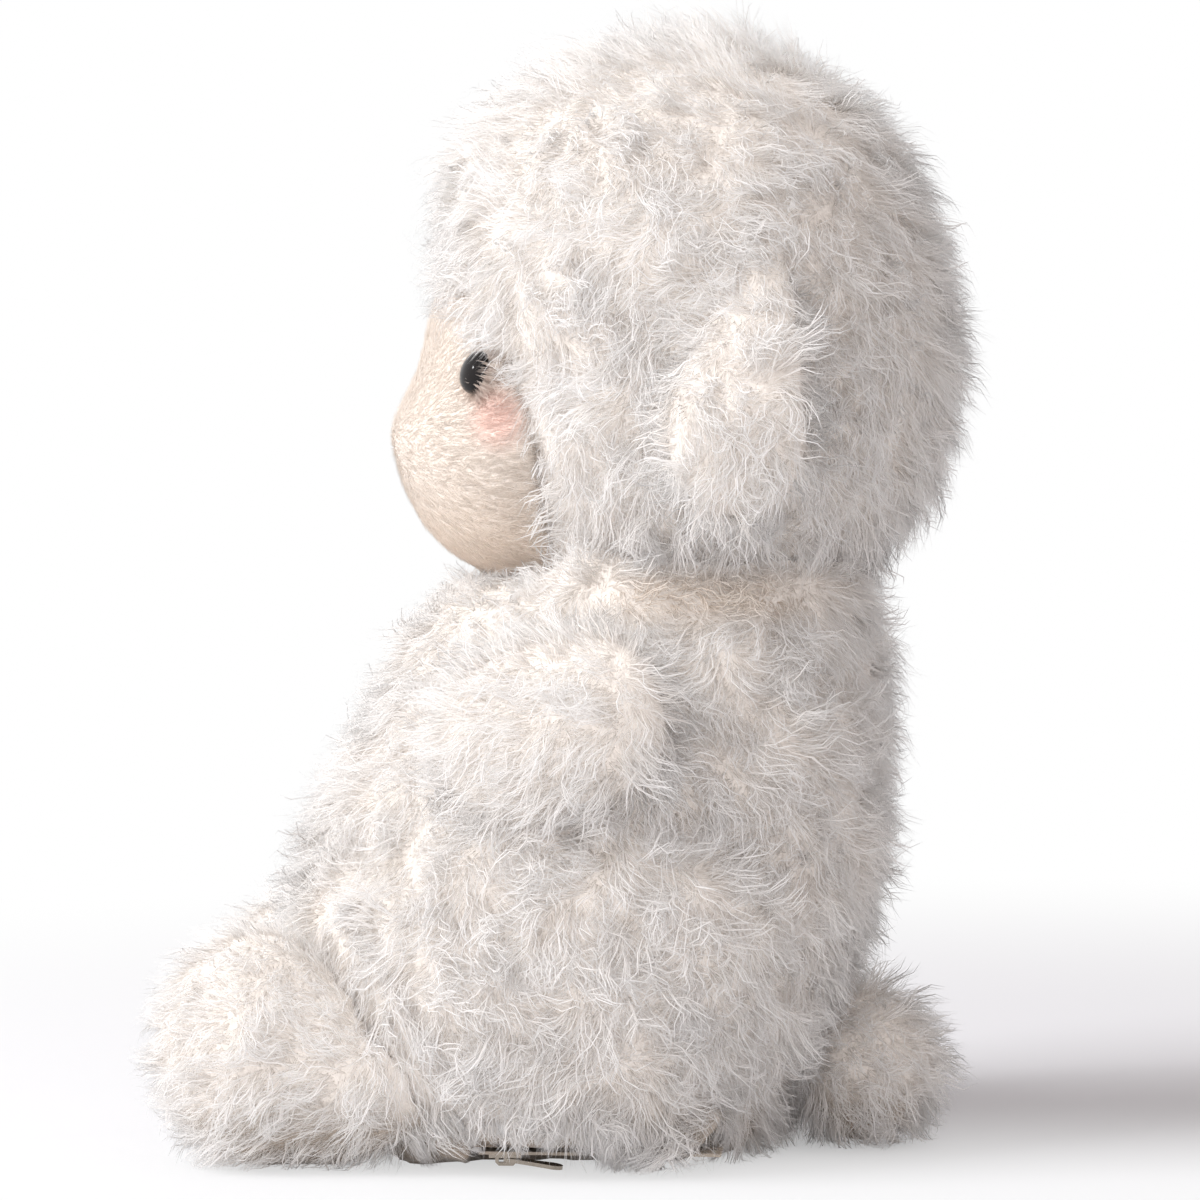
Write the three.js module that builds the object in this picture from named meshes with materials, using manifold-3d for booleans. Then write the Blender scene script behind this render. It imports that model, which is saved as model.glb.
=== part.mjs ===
// A seated plush sheep: a zipped body of long wool cloth over a stuffed cushion, a wool
// hood round a short-pile face, and ears, arms, legs and a tail sewn on.
// Millimetres, +Z up. The sheep faces -Y, its left side is +X, and the origin is on the
// floor under the middle of the body. Every soft outline is the mean surface of the pile.
import * as THREE from 'three';
import { mergeGeometries, mergeVertices } from 'three/addons/utils/BufferGeometryUtils.js';
import Module from 'manifold-3d';

const wasm = await Module();
wasm.setup();

// Cloth, fits and cutters
const woolWall = 10; // long pile with its backing
const faceWall = 3; // short pile with its backing
const seatGap = 0.3; // room where one soft piece meets another
const neckGap = 0.6; // room round the head where it turns in the neck
const runGap = 0.3; // running clearance in the zip
const floorCut = 0.5; // how deep the floor presses a form flat
const overrun = 4; // how far a cutter runs past what it cuts

// Body: height to the top of the neck, depth from belly to back, width
const bodyTall = 182;
const bodyDeep = 166;
const bodyWide = 166;

// Head: its underside above the floor, height, depth and width, and how far it turns
const headLow = 147;
const headTall = 157.5;
const headDeep = 144;
const headWide = 152;
const headSet = 27; // head's middle behind the body's middle
const headTurnDegrees = 12;

// Face: chin above the floor, height, depth from muzzle to rim, width
const faceLow = 146;
const faceTall = 106;
const faceDeep = 57;
const faceWide = 105;

// Eyes
const eyeRadius = 5.8;
const eyeDome = 4;
const eyeRim = 0.6;
const eyeApart = 86; // between the two eyes
const eyeHigh = 208; // above the floor
const eyeForwardDegrees = 24; // turned to the front from the face's own slope
const shankRadius = 1.5;
const shankLong = 8;
const shankRib = 0.35;
const shankRibs = 2;
const washerRadius = 5.5;
const washerThick = 1.2;
const washerDish = 0.8;
const washerSink = 0.8; // washer's room behind the face cloth
const stuffingLap = 0.5; // how far the head's filling runs on into the face's

// Ears
const earLong = 90;
const earDeep = 40;
const earThick = 21;
const earOut = 20; // how far the hanging ear bows away from its root
const earTop = 254; // root above the floor
const earSet = 44; // behind the body's middle
const earRoot = 62; // root from the middle plane
const earFlopDegrees = 50;

// Arms
const armLong = 76;
const armHigh = 58;
const armThick = 34;
const armHang = 20; // degrees below level
const armToe = 9; // degrees turned in to the belly
const armUpDegrees = 40;
const armDownDegrees = 12;
const shoulderHigh = 124;
const shoulderSet = 14;
const shoulderOut = 72;

// Legs
const legLong = 94;
const footHigh = 57;
const footWide = 56;
const hipSet = 22; // hip's end in front of the body's middle
const hipOut = 44;
const legToe = 5; // degrees turned out
const legPivotOut = 58;
const legPivotSet = 56; // in front of the body's middle
const legSpreadDegrees = 10;
const legCloseDegrees = 4;

// Tail
const tailTall = 49;
const tailDeep = 48;
const tailWide = 52;
const tailSet = 71; // tail's middle behind the body's middle
const tailRoot = 14; // pivot in front of the tail's middle
const tailWagDegrees = 15;

// Cushion and weight pouch inside the body
const pouchTall = 32;
const pouchSunk = 6; // how much of its round underside lies flat
const pouchDeep = 84;
const pouchWide = 76;

// Zip: rows of teeth on tapes, under the left edge of the base
const zipOut = 50; // from the middle plane
const zipFront = -27.5; // front end of the tapes
const zipHigh = 5.6; // middle of the teeth above the floor
const zipPitch = 2.4;
const zipTeeth = 22; // on each tape
const zipHead = 6.6; // bare tape in front of the teeth
const zipEnd = 3.5; // bare tape behind them
const tapeWide = 7;
const tapeThick = 0.8;
const tapeApart = 2.6; // between the tapes' facing edges
const toothThick = 1.8;
const toothNeck = 0.7;
const toothHead = 1.05;
const toothReach = 0.95; // tooth's nose past the middle line
const toothRoot = 0.8; // tooth's hold on its tape
const stopLong = 1.4;
const stopWall = 0.5;
const stopGrip = 1.6; // how far a stop reaches over its tape

// Slider and pull
const plateThick = 0.8;
const sliderLong = 8.4;
const sliderMouth = 7.2;
const sliderTail = 6.2;
const flangeWide = 0.5;
const wedgeWide = 1.7;
const wedgeLong = 2.6;
const bridgeWide = 1.2;
const bridgeLong = 5.6;
const bridgeThick = 0.9;
const pullThick = 1;
const pullLong = 15;
const pullWide = 5.6;
const pullNeck = 3.8;
const pullBar = 0.9; // bar of the pull that turns in the bridge
const pullPlay = 0.4; // room beside the bridge in the pull's eye
const pullTipDegrees = 8; // how far the pull's tip hangs down

// Mesh density
const around = 20; // points round a big form
const limbAround = 14;
const roundAround = 16; // points round an eye or a washer
const fineRows = 2; // rings made for each row of a table on a surface that shows
const plainRows = 1; // and on an inner surface
const sweepDegrees = 8.5; // widest step between two cuts of a turning carrier

// Tables of rings. Each row is a ring: its place along the form, its reach to the front
// and to the back of the middle line, its half width, and its shift to the side.
const bodyShares = [
  [0, -0.09, 0.09, 0, 0],
  [0.003, 0.41, 0.28, 0.337, 0],
  [0.044, 0.458, 0.325, 0.415, 0],
  [0.143, 0.506, 0.375, 0.478, 0],
  [0.302, 0.52, 0.443, 0.5, 0],
  [0.412, 0.506, 0.467, 0.488, 0],
  [0.549, 0.446, 0.476, 0.452, 0],
  [0.659, 0.392, 0.48, 0.416, 0],
  [0.769, 0.331, 0.47, 0.38, 0],
  [0.868, 0.253, 0.455, 0.343, 0],
  [0.95, 0.16, 0.4, 0.28, 0],
  [1, -0.14, 0.14, 0, 0],
];
const headShares = [
  [0, 0.04, -0.04, 0, 0],
  [0.016, 0.3, 0.235, 0.29, 0],
  [0.053, 0.37, 0.33, 0.355, 0],
  [0.104, 0.415, 0.39, 0.395, 0],
  [0.21, 0.462, 0.462, 0.446, 0],
  [0.37, 0.487, 0.497, 0.49, 0],
  [0.496, 0.497, 0.492, 0.5, 0],
  [0.623, 0.503, 0.46, 0.492, 0],
  [0.737, 0.497, 0.415, 0.455, 0],
  [0.845, 0.435, 0.342, 0.382, 0],
  [0.921, 0.315, 0.238, 0.283, 0],
  [0.972, 0.18, 0.125, 0.168, 0],
  [1, 0.035, -0.035, 0, 0],
];
const faceShares = [
  [0, 0.1, -0.1, 0, 0],
  [0.03, 0.31, 0.2, 0.16, 0],
  [0.076, 0.58, 0.26, 0.27, 0],
  [0.15, 0.78, 0.28, 0.37, 0],
  [0.245, 0.905, 0.36, 0.44, 0],
  [0.35, 0.98, 0.48, 0.48, 0],
  [0.453, 1, 0.66, 0.497, 0],
  [0.6, 0.885, 0.96, 0.5, 0],
  [0.774, 0.807, 0.92, 0.456, 0],
  [0.887, 0.74, 0.6, 0.38, 0],
  [0.96, 0.55, 0.2, 0.22, 0],
  [1, 0.3, -0.3, 0, 0],
];
const earShares = [
  [0, 0, 0, 0, 0.72],
  [0.05, 0.27, 0.26, 0.31, 0.76],
  [0.15, 0.44, 0.43, 0.47, 0.85],
  [0.3, 0.5, 0.5, 0.5, 0.97],
  [0.48, 0.46, 0.46, 0.46, 1],
  [0.68, 0.42, 0.4, 0.42, 0.9],
  [0.86, 0.36, 0.34, 0.38, 0.6],
  [0.95, 0.22, 0.21, 0.26, 0.4],
  [1, 0, 0, 0, 0.3],
];
const armShares = [
  [0, 0, 0, 0, 0],
  [0.06, 0.27, 0.27, 0.3, 0],
  [0.17, 0.42, 0.41, 0.42, 0],
  [0.36, 0.49, 0.48, 0.49, 0],
  [0.58, 0.5, 0.5, 0.5, 0],
  [0.78, 0.46, 0.44, 0.46, 0],
  [0.92, 0.31, 0.28, 0.33, 0],
  [0.98, 0.15, 0.14, 0.17, 0],
  [1, 0, 0, 0, 0],
];
const legShares = [
  [0, 0, 0, 0, 0],
  [0.07, 0.3, 0.28, 0.32, 0],
  [0.2, 0.46, 0.42, 0.45, 0],
  [0.4, 0.5, 0.47, 0.47, 0],
  [0.6, 0.5, 0.49, 0.48, 0],
  [0.75, 0.5, 0.5, 0.5, 0],
  [0.87, 0.43, 0.42, 0.43, 0],
  [0.95, 0.29, 0.29, 0.29, 0],
  [0.99, 0.13, 0.13, 0.13, 0],
  [1, 0, 0, 0, 0],
];
const puffShares = [
  [0, 0, 0, 0, 0],
  [0.02, 0.2, 0.18, 0.2, 0],
  [0.12, 0.38, 0.36, 0.38, 0],
  [0.3, 0.49, 0.48, 0.48, 0],
  [0.5, 0.5, 0.5, 0.5, 0],
  [0.7, 0.45, 0.45, 0.45, 0],
  [0.87, 0.32, 0.33, 0.33, 0],
  [0.97, 0.15, 0.16, 0.16, 0],
  [1, 0, 0, 0, 0],
];

// Rim of the hood round the face, from forehead to chin: depth and height as shares of
// the face's depth in front of the body's middle and of its height above the chin.
const rimShares = [
  [0.77, 0.9],
  [0.58, 0.74],
  [0.4, 0.6],
  [0.32, 0.45],
  [0.27, 0.25],
  [0.22, 0.03],
];

// Turns a closed geometry into a solid that can be cut and joined.
function solidOf(geometry) {
  const bare = new THREE.BufferGeometry();
  bare.setAttribute('position', geometry.getAttribute('position').clone());
  bare.setIndex(geometry.getIndex());
  const whole = mergeVertices(bare);
  const vertProperties = new Float32Array(whole.getAttribute('position').array);
  const triVerts = new Uint32Array(whole.getIndex().array);
  return new wasm.Manifold(new wasm.Mesh({ numProp: 3, vertProperties, triVerts }));
}

// Turns a solid back into a geometry.
function geometryOf(solid) {
  const { numProp, vertProperties, triVerts } = solid.getMesh();
  const geometry = new THREE.BufferGeometry();
  geometry.setAttribute('position', new THREE.BufferAttribute(vertProperties, numProp));
  geometry.setIndex(new THREE.BufferAttribute(triVerts, 1));
  geometry.computeVertexNormals();
  return geometry;
}

// Fills a table of rings in with smooth rings between its rows.
function smoothRows(rows, steps) {
  const places = rows.map((row, index) => index);
  const curve = new THREE.CubicInterpolant(places, rows.flat(), rows[0].length);
  const count = (rows.length - 1) * steps;
  return Array.from({ length: count + 1 }, (unused, index) => [...curve.evaluate(index / steps)]);
}

// One point of a form's surface, in the form's own frame, at a ring and an angle.
// Angle 0 points to +X and a quarter turn to +Y. Growing moves the surface outwards.
function surfacePoint(form, row, angle, grow) {
  const [along, front, back, half, side] = row;
  const reach = ((front + back) * form.deep) / 2 + (half > 0 ? grow : 0);
  const spread = half * form.wide + (half > 0 ? grow : 0);
  const fullness = 2 / form.square;
  const cos = Math.cos(angle);
  const sin = Math.sin(angle);
  return new THREE.Vector3(
    form.mid + side * form.out + spread * Math.sign(cos) * Math.abs(cos) ** fullness,
    form.set + ((back - front) * form.deep) / 2 + reach * Math.sign(sin) * Math.abs(sin) ** fullness,
    form.low + form.tall / 2 + (along - 1 / 2) * (form.tall + 2 * grow),
  );
}

// A closed swelling form from its table of rings.
function swell(form, grow = 0, steps = fineRows) {
  const rows = smoothRows(form.rows, steps);
  const sides = form.sides;
  const last = rows.length - 1;
  const points = [surfacePoint(form, rows[0], 0, grow)];
  for (let ring = 1; ring < last; ring += 1) {
    for (let step = 0; step < sides; step += 1) {
      points.push(surfacePoint(form, rows[ring], (2 * Math.PI * step) / sides, grow));
    }
  }
  points.push(surfacePoint(form, rows[last], 0, grow));
  const top = points.length - 1;
  const faces = [];
  for (let step = 0; step < sides; step += 1) {
    const next = (step + 1) % sides;
    faces.push(0, 1 + next, 1 + step);
    for (let ring = 0; ring < last - 2; ring += 1) {
      const here = 1 + ring * sides;
      const above = here + sides;
      faces.push(here + step, here + next, above + next);
      faces.push(here + step, above + next, above + step);
    }
    const lastRing = top - sides;
    faces.push(lastRing + step, lastRing + next, top);
  }
  const geometry = new THREE.BufferGeometry().setFromPoints(points);
  geometry.setIndex(faces);
  return geometry;
}

// Turns about a line through a point.
function turnAbout(pivot, axis, degrees) {
  const turn = new THREE.Matrix4().makeRotationAxis(axis, THREE.MathUtils.degToRad(degrees));
  const there = new THREE.Matrix4().makeTranslation(pivot.x, pivot.y, pivot.z);
  const back = new THREE.Matrix4().makeTranslation(-pivot.x, -pivot.y, -pivot.z);
  return there.multiply(turn).multiply(back);
}

// Evenly spaced angles from one limit of a joint to the other.
function sweep(low, high) {
  const steps = Math.ceil((high - low) / sweepDegrees);
  return Array.from({ length: steps + 1 }, (unused, step) => low + ((high - low) * step) / steps);
}

// Cuts a piece by its carrier at every angle of its joint, so it turns freely.
function cutBySweep(piece, carrier, pivot, axis, low, high) {
  return sweep(low, high).reduce((left, degrees) => {
    const turned = carrier.clone().applyMatrix4(turnAbout(pivot, axis, -degrees));
    return left.subtract(solidOf(turned));
  }, piece);
}

// A block from its low and high corners.
function block(low, high) {
  const size = new THREE.Vector3().subVectors(high, low);
  const middle = new THREE.Vector3().addVectors(low, high).multiplyScalar(1 / 2);
  return new THREE.BoxGeometry(size.x, size.y, size.z).translate(middle.x, middle.y, middle.z);
}

// Everything below the floor, reaching past the whole part.
const below = block(
  new THREE.Vector3(-bodyWide, -bodyDeep, -bodyTall),
  new THREE.Vector3(bodyWide, bodyDeep, 0),
);

const materials = {
  wool: { color: 0xf3efe9, roughness: 0.95, metalness: 0 },
  face: { color: 0xf2dccb, roughness: 0.9, metalness: 0 },
  eye: { color: 0x0c0a0a, roughness: 0.08, metalness: 0 },
  plastic: { color: 0xe6e4df, roughness: 0.5, metalness: 0 },
  lining: { color: 0xe9e5dc, roughness: 0.9, metalness: 0 },
  tape: { color: 0xe8e4dc, roughness: 0.85, metalness: 0 },
  nickel: { color: 0xa39a8e, roughness: 0.28, metalness: 1 },
};

const sheep = new THREE.Group();

// Adds a named mesh whose own origin is at a chosen point of the carrying group's frame.
function addPiece(name, geometry, finish, at = new THREE.Vector3(), parent = sheep) {
  geometry.translate(-at.x, -at.y, -at.z);
  const mesh = new THREE.Mesh(geometry, new THREE.MeshStandardMaterial(materials[finish]));
  mesh.name = name;
  mesh.position.copy(at);
  parent.add(mesh);
  return mesh;
}

// The main forms
const bodyForm = {
  rows: bodyShares,
  tall: bodyTall + floorCut,
  deep: bodyDeep,
  wide: bodyWide,
  mid: 0,
  out: 0,
  low: -floorCut,
  set: 0,
  square: 2.3,
  sides: around,
};
const headForm = {
  rows: headShares,
  tall: headTall,
  deep: headDeep,
  wide: headWide,
  mid: 0,
  out: 0,
  low: headLow,
  set: headSet,
  square: 2,
  sides: around,
};
const faceForm = {
  rows: faceShares,
  tall: faceTall,
  deep: faceDeep,
  wide: faceWide,
  mid: 0,
  out: 0,
  low: faceLow,
  set: 0,
  square: 2,
  sides: around,
};
const pouchForm = {
  rows: puffShares,
  tall: pouchTall,
  deep: pouchDeep,
  wide: pouchWide,
  mid: 0,
  out: 0,
  low: woolWall - pouchSunk,
  set: 0,
  square: 2,
  sides: limbAround,
};

// Everything in front of the hood's rim, moved forward and down by a gap.
function frontOfRim(gap) {
  const rim = rimShares.map(
    ([depth, height]) => new THREE.Vector2(-depth * faceDeep, faceLow + height * faceTall),
  );
  const outline = new THREE.Shape();
  const reach = faceDeep + headDeep;
  outline.moveTo(rim[0].x, rim[0].y);
  outline.splineThru(rim.slice(1));
  outline.lineTo(rim.at(-1).x, faceLow - faceTall);
  outline.lineTo(-reach, faceLow - faceTall);
  outline.lineTo(-reach, rim[0].y);
  outline.closePath();
  const wide = headWide + 2 * overrun;
  const cutter = new THREE.ExtrudeGeometry(outline, { depth: wide, bevelEnabled: false, curveSegments: 4 });
  cutter.translate(-gap, -gap, -wide / 2);
  const upright = new THREE.Matrix4().makeBasis(
    new THREE.Vector3(0, 1, 0),
    new THREE.Vector3(0, 0, 1),
    new THREE.Vector3(1, 0, 0),
  );
  return cutter.applyMatrix4(upright);
}

// Where the head turns on the neck
const neck = new THREE.Vector3(0, headSet, headLow);
const upright = new THREE.Vector3(0, 0, 1);

// A round seat about the neck's axis that the head turns in, as wide as its widest ring
function neckSeat() {
  const profile = smoothRows(headForm.rows, fineRows).map(([along, front, back, half]) => {
    const widest = Math.max(front * headDeep, back * headDeep, half * headWide) + neckGap;
    return [widest / Math.cos(Math.PI / around), headLow - neckGap + along * (headTall + 2 * neckGap)];
  });
  const whole = [[0, profile[0][1]], ...profile, [0, profile.at(-1)[1]]];
  return turned(whole, around).translate(0, headSet, 0);
}

// Makes room in the neck for the head and the chin at every angle of the head's turn.
function cutByHead(piece) {
  const chin = swell(faceForm, neckGap);
  const seated = piece.subtract(solidOf(neckSeat()));
  return cutBySweep(seated, chin, neck, upright, -headTurnDegrees, headTurnDegrees);
}

// Zip sizes that follow from its parts
const zipLong = zipHead + zipTeeth * zipPitch + zipEnd;
const tapeEdge = tapeApart / 2 + tapeWide;
const tapeTop = zipHigh + tapeThick / 2;
const slotHalf = sliderMouth / 2 + runGap;
const ductHigh = toothThick + 2 * runGap;
const slitHigh = tapeThick + 2 * runGap;
const plateOut = ductHigh / 2 + plateThick;
const bridgeRoom = pullThick + 2 * runGap;
const sliderRest = stopWall + stopLong + runGap + sliderLong / 2;
const sliderTravel = zipLong - zipEnd + stopLong / 2 - runGap - sliderLong / 2 - sliderRest;
const recessBack = zipFront + sliderRest + sliderTravel + pullLong + runGap;

// The body's cover, with the zip's recess under its edge and the slot that the zip closes,
// the cushion that the cover is filled with, and the weight pouch under the cushion
function makeBody() {
  const inside = (wall) => solidOf(swell(bodyForm, -wall, plainRows))
    .subtract(solidOf(swell(headForm, wall, plainRows)))
    .subtract(solidOf(swell(faceForm, wall, plainRows)));
  const recess = block(
    new THREE.Vector3(zipOut - tapeEdge - seatGap, zipFront - seatGap, -overrun),
    new THREE.Vector3(bodyWide / 2, recessBack, tapeTop + seatGap),
  );
  const slot = block(
    new THREE.Vector3(zipOut - slotHalf, zipFront, -overrun),
    new THREE.Vector3(zipOut + slotHalf, zipFront + zipLong, zipHigh + woolWall),
  );
  const cover = cutByHead(solidOf(swell(bodyForm)))
    .subtract(solidOf(below))
    .subtract(inside(woolWall))
    .subtract(solidOf(recess))
    .subtract(solidOf(slot));
  addPiece('body_cover', geometryOf(cover), 'wool');
  const filling = inside(woolWall + seatGap);
  const pouch = solidOf(swell(pouchForm, 0, plainRows));
  const pouchRoom = solidOf(swell(pouchForm, seatGap, plainRows));
  addPiece('inner_cushion', geometryOf(filling.subtract(pouchRoom)), 'lining');
  addPiece('pellet_pouch', geometryOf(filling.intersect(pouch)), 'lining');
}

// The ring of a form at a height above the floor
function rowAt(form, height) {
  const rows = smoothRows(form.rows, fineRows);
  const place = (height - form.low) / form.tall;
  const above = rows.findIndex((row) => row[0] >= place);
  const blend = (place - rows[above - 1][0]) / (rows[above][0] - rows[above - 1][0]);
  return rows[above].map((value, index) => THREE.MathUtils.lerp(rows[above - 1][index], value, blend));
}

// The frame of an eye: its back on the face's surface, its axis square to that surface
function eyeFrame(side) {
  const row = rowAt(faceForm, eyeHigh);
  const angle = -Math.acos(eyeApart / 2 / (row[3] * faceWide));
  const nearAngle = runGap / faceWide;
  const at = surfacePoint(faceForm, row, angle, seatGap);
  const across = surfacePoint(faceForm, row, angle + nearAngle, seatGap).sub(at);
  const up = surfacePoint(faceForm, rowAt(faceForm, eyeHigh + runGap), angle, seatGap).sub(at);
  const normal = new THREE.Vector3().crossVectors(across, up).normalize();
  normal.applyAxisAngle(upright, THREE.MathUtils.degToRad(-eyeForwardDegrees));
  const mirror = new THREE.Vector3(side, 1, 1);
  const turn = new THREE.Quaternion().setFromUnitVectors(upright, normal.multiply(mirror));
  return new THREE.Matrix4().compose(at.multiply(mirror), turn, new THREE.Vector3(1, 1, 1));
}

// A solid of revolution from its radius and height points, standing along +Z
function turned(points, sides) {
  const profile = points.map(([radius, height]) => new THREE.Vector2(radius, height));
  return new THREE.LatheGeometry(profile, sides).rotateX(Math.PI / 2);
}

// A round bar along +Z between two heights
function bar(radius, low, high) {
  return turned([[0, low], [radius, low], [radius, high], [0, high]], roundAround);
}

// A glossy dome on a ribbed shank
function eyeShape() {
  const profile = [[0, -shankLong], [shankRadius, -shankLong]];
  const pitch = shankLong / (shankRibs + 2);
  for (let rib = 1; rib <= shankRibs; rib += 1) {
    const height = rib * pitch - shankLong;
    profile.push([shankRadius, height - shankRib]);
    profile.push([shankRadius + shankRib, height]);
    profile.push([shankRadius, height + shankRib]);
  }
  profile.push([shankRadius, 0], [eyeRadius, 0]);
  const arcs = 4;
  for (let step = 0; step < arcs; step += 1) {
    const angle = (Math.PI * step) / arcs / 2;
    profile.push([eyeRadius * Math.cos(angle), eyeRim + (eyeDome - eyeRim) * Math.sin(angle)]);
  }
  profile.push([0, eyeDome]);
  return turned(profile, roundAround);
}

// A dished lock washer whose front is at height 0
function washerShape() {
  const bore = shankRadius + shankRib + runGap;
  return turned(
    [
      [bore, -washerDish],
      [bore, -washerDish - washerThick],
      [washerRadius, -washerThick],
      [washerRadius, 0],
      [bore, -washerDish],
    ],
    roundAround,
  );
}

// The hood, the face panel in its opening, the stuffing in both, and the locked eyes
function makeHead() {
  const frames = { left: eyeFrame(1), right: eyeFrame(-1) };
  const washerFront = -seatGap - faceWall - washerSink;
  const pocketDepth = washerFront - washerThick - washerDish - seatGap;
  const shankHole = bar(shankRadius + shankRib + seatGap, -shankLong - seatGap, overrun);
  const pocket = bar(washerRadius + seatGap, pocketDepth, overrun);
  const washerSeat = bar(washerRadius + seatGap, pocketDepth, washerFront + seatGap);
  const eyeSeat = bar(eyeRadius + seatGap, -seatGap, eyeDome + overrun);

  let hood = solidOf(swell(headForm))
    .subtract(solidOf(swell(headForm, -woolWall, plainRows)))
    .subtract(solidOf(frontOfRim(0)));
  let panel = solidOf(swell(faceForm))
    .subtract(solidOf(swell(faceForm, -faceWall, plainRows)))
    .intersect(solidOf(frontOfRim(seatGap)));
  const faceFilling = solidOf(swell(faceForm, -faceWall - seatGap, plainRows))
    .intersect(solidOf(frontOfRim(seatGap)));
  let filling = solidOf(swell(headForm, -woolWall - seatGap, plainRows))
    .subtract(solidOf(frontOfRim(seatGap + stuffingLap)))
    .add(faceFilling);
  for (const frame of Object.values(frames)) {
    const hole = solidOf(shankHole.clone().applyMatrix4(frame));
    const room = solidOf(pocket.clone().applyMatrix4(frame));
    panel = panel.subtract(hole);
    for (const seat of [washerSeat, eyeSeat]) {
      panel = panel.subtract(solidOf(seat.clone().applyMatrix4(frame)));
    }
    filling = filling.subtract(hole).subtract(room);
    hood = hood.subtract(hole).subtract(room);
  }
  addPiece('head_cover', geometryOf(hood), 'wool', neck);
  addPiece('face_panel', geometryOf(panel), 'face', neck);
  addPiece('head_stuffing', geometryOf(filling), 'lining', neck);
  for (const [side, frame] of Object.entries(frames)) {
    const socket = new THREE.Group();
    frame.decompose(socket.position, socket.quaternion, socket.scale);
    sheep.add(socket);
    addPiece(`${side}_eye`, eyeShape(), 'eye', new THREE.Vector3(), socket);
    const washer = addPiece(`${side}_eye_washer`, washerShape(), 'plastic', new THREE.Vector3(), socket);
    washer.position.z = washerFront;
  }
}

// The mirror image of a geometry across the middle plane
function mirrored(geometry) {
  const image = geometry.clone().scale(-1, 1, 1);
  const corners = Array.from(image.getIndex().array);
  image.setIndex(corners.map((unused, index) => corners[index + [0, 1, -1][index % 3]]));
  return image;
}

// Adds a left piece and its mirror image, each with its origin at its pivot.
function addPair(name, solid, finish, pivot) {
  const left = geometryOf(solid);
  addPiece(`right_${name}`, mirrored(left), finish, pivot.clone().multiply(new THREE.Vector3(-1, 1, 1)));
  addPiece(`left_${name}`, left, finish, pivot);
}

// A form in its own frame: limbs run along +Z from their root.
function limbForm(rows, tall, deep, wide) {
  return { rows, tall, deep, wide, mid: 0, out: 0, low: 0, set: 0, square: 2, sides: limbAround };
}

const sideways = new THREE.Vector3(1, 0, 0);

// The ears hang from hinge lines at their roots and lie on the hood.
function makeEars() {
  const form = {
    ...limbForm(earShares, earLong, earDeep, earThick),
    mid: earRoot,
    out: earOut,
    low: earTop - earLong,
    set: earSet,
  };
  const pivot = new THREE.Vector3(earRoot + earOut / 2, earSet, earTop);
  const ear = solidOf(swell(form)).subtract(solidOf(swell(headForm, seatGap)));
  addPair('ear', ear, 'wool', pivot);
}

// The arms point forward and down along the sides of the chest.
function makeArms() {
  const hang = THREE.MathUtils.degToRad(armHang);
  const toe = THREE.MathUtils.degToRad(armToe);
  const pivot = new THREE.Vector3(shoulderOut, shoulderSet, shoulderHigh);
  const along = new THREE.Vector3(
    -Math.sin(toe) * Math.cos(hang),
    -Math.cos(toe) * Math.cos(hang),
    -Math.sin(hang),
  );
  const outward = new THREE.Vector3(Math.cos(toe), -Math.sin(toe), 0);
  const across = new THREE.Vector3().crossVectors(along, outward);
  const place = new THREE.Matrix4().makeBasis(outward, across, along);
  const root = pivot.clone().addScaledVector(along, -armHigh / 4);
  place.setPosition(root);
  const arm = solidOf(swell(limbForm(armShares, armLong, armHigh, armThick)).applyMatrix4(place));
  const clearOfBody = cutBySweep(
    arm,
    swell(bodyForm, seatGap),
    pivot,
    sideways,
    -armUpDegrees,
    armDownDegrees,
  );
  const free = cutBySweep(
    clearOfBody,
    swell(headForm, seatGap),
    pivot,
    sideways,
    -armUpDegrees,
    armDownDegrees,
  );
  addPair('arm', free, 'wool', pivot);
}

// The legs lie on the floor and end in round feet that point forward.
function makeLegs() {
  const toe = THREE.MathUtils.degToRad(legToe);
  const along = new THREE.Vector3(Math.sin(toe), -Math.cos(toe), 0);
  const outward = new THREE.Vector3(Math.cos(toe), Math.sin(toe), 0);
  const place = new THREE.Matrix4().makeBasis(outward, upright, along);
  place.setPosition(hipOut, -hipSet, footHigh / 2 - floorCut);
  const leg = solidOf(swell(limbForm(legShares, legLong, footHigh, footWide)).applyMatrix4(place));
  const pivot = new THREE.Vector3(legPivotOut, -legPivotSet, 0);
  const free = cutBySweep(
    leg,
    swell(bodyForm, seatGap),
    pivot,
    upright,
    -legCloseDegrees,
    legSpreadDegrees,
  );
  addPair('leg', free.subtract(solidOf(below)), 'wool', pivot);
}

// The tail is a puff that sits on the floor behind the body.
function makeTail() {
  const form = {
    ...limbForm(puffShares, tailTall, tailDeep, tailWide),
    low: -floorCut,
    set: tailSet,
  };
  const pivot = new THREE.Vector3(0, tailSet - tailRoot, tailTall / 2);
  const free = cutBySweep(
    solidOf(swell(form)),
    swell(bodyForm, seatGap),
    pivot,
    upright,
    -tailWagDegrees,
    tailWagDegrees,
  );
  addPiece('tail', geometryOf(free.subtract(solidOf(below))), 'wool', pivot);
}

// Extrudes an outline by a depth, with the depth's middle at height 0.
function slab(outline, depth) {
  const geometry = new THREE.ExtrudeGeometry(outline, { depth, bevelEnabled: false, curveSegments: 8 });
  return geometry.translate(0, 0, -depth / 2);
}

// A closed outline through corners given as pairs.
function outlineOf(corners) {
  return new THREE.Shape(corners.map(([x, y]) => new THREE.Vector2(x, y)));
}

// One tooth: its root holds the tape, and its head locks behind the facing necks.
function toothShape() {
  const root = tapeApart / 2 + toothRoot;
  const bevel = (toothHead - toothNeck) / 2;
  const half = [
    [root, toothNeck / 2],
    [-bevel / 2, toothNeck / 2],
    [-bevel / 2 - bevel, toothHead / 2],
    [-toothReach, toothHead / 2 - bevel],
  ];
  const other = half.map(([x, y]) => [x, -y]).reverse();
  return slab(outlineOf([...half, ...other].reverse()), toothThick);
}

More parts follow.
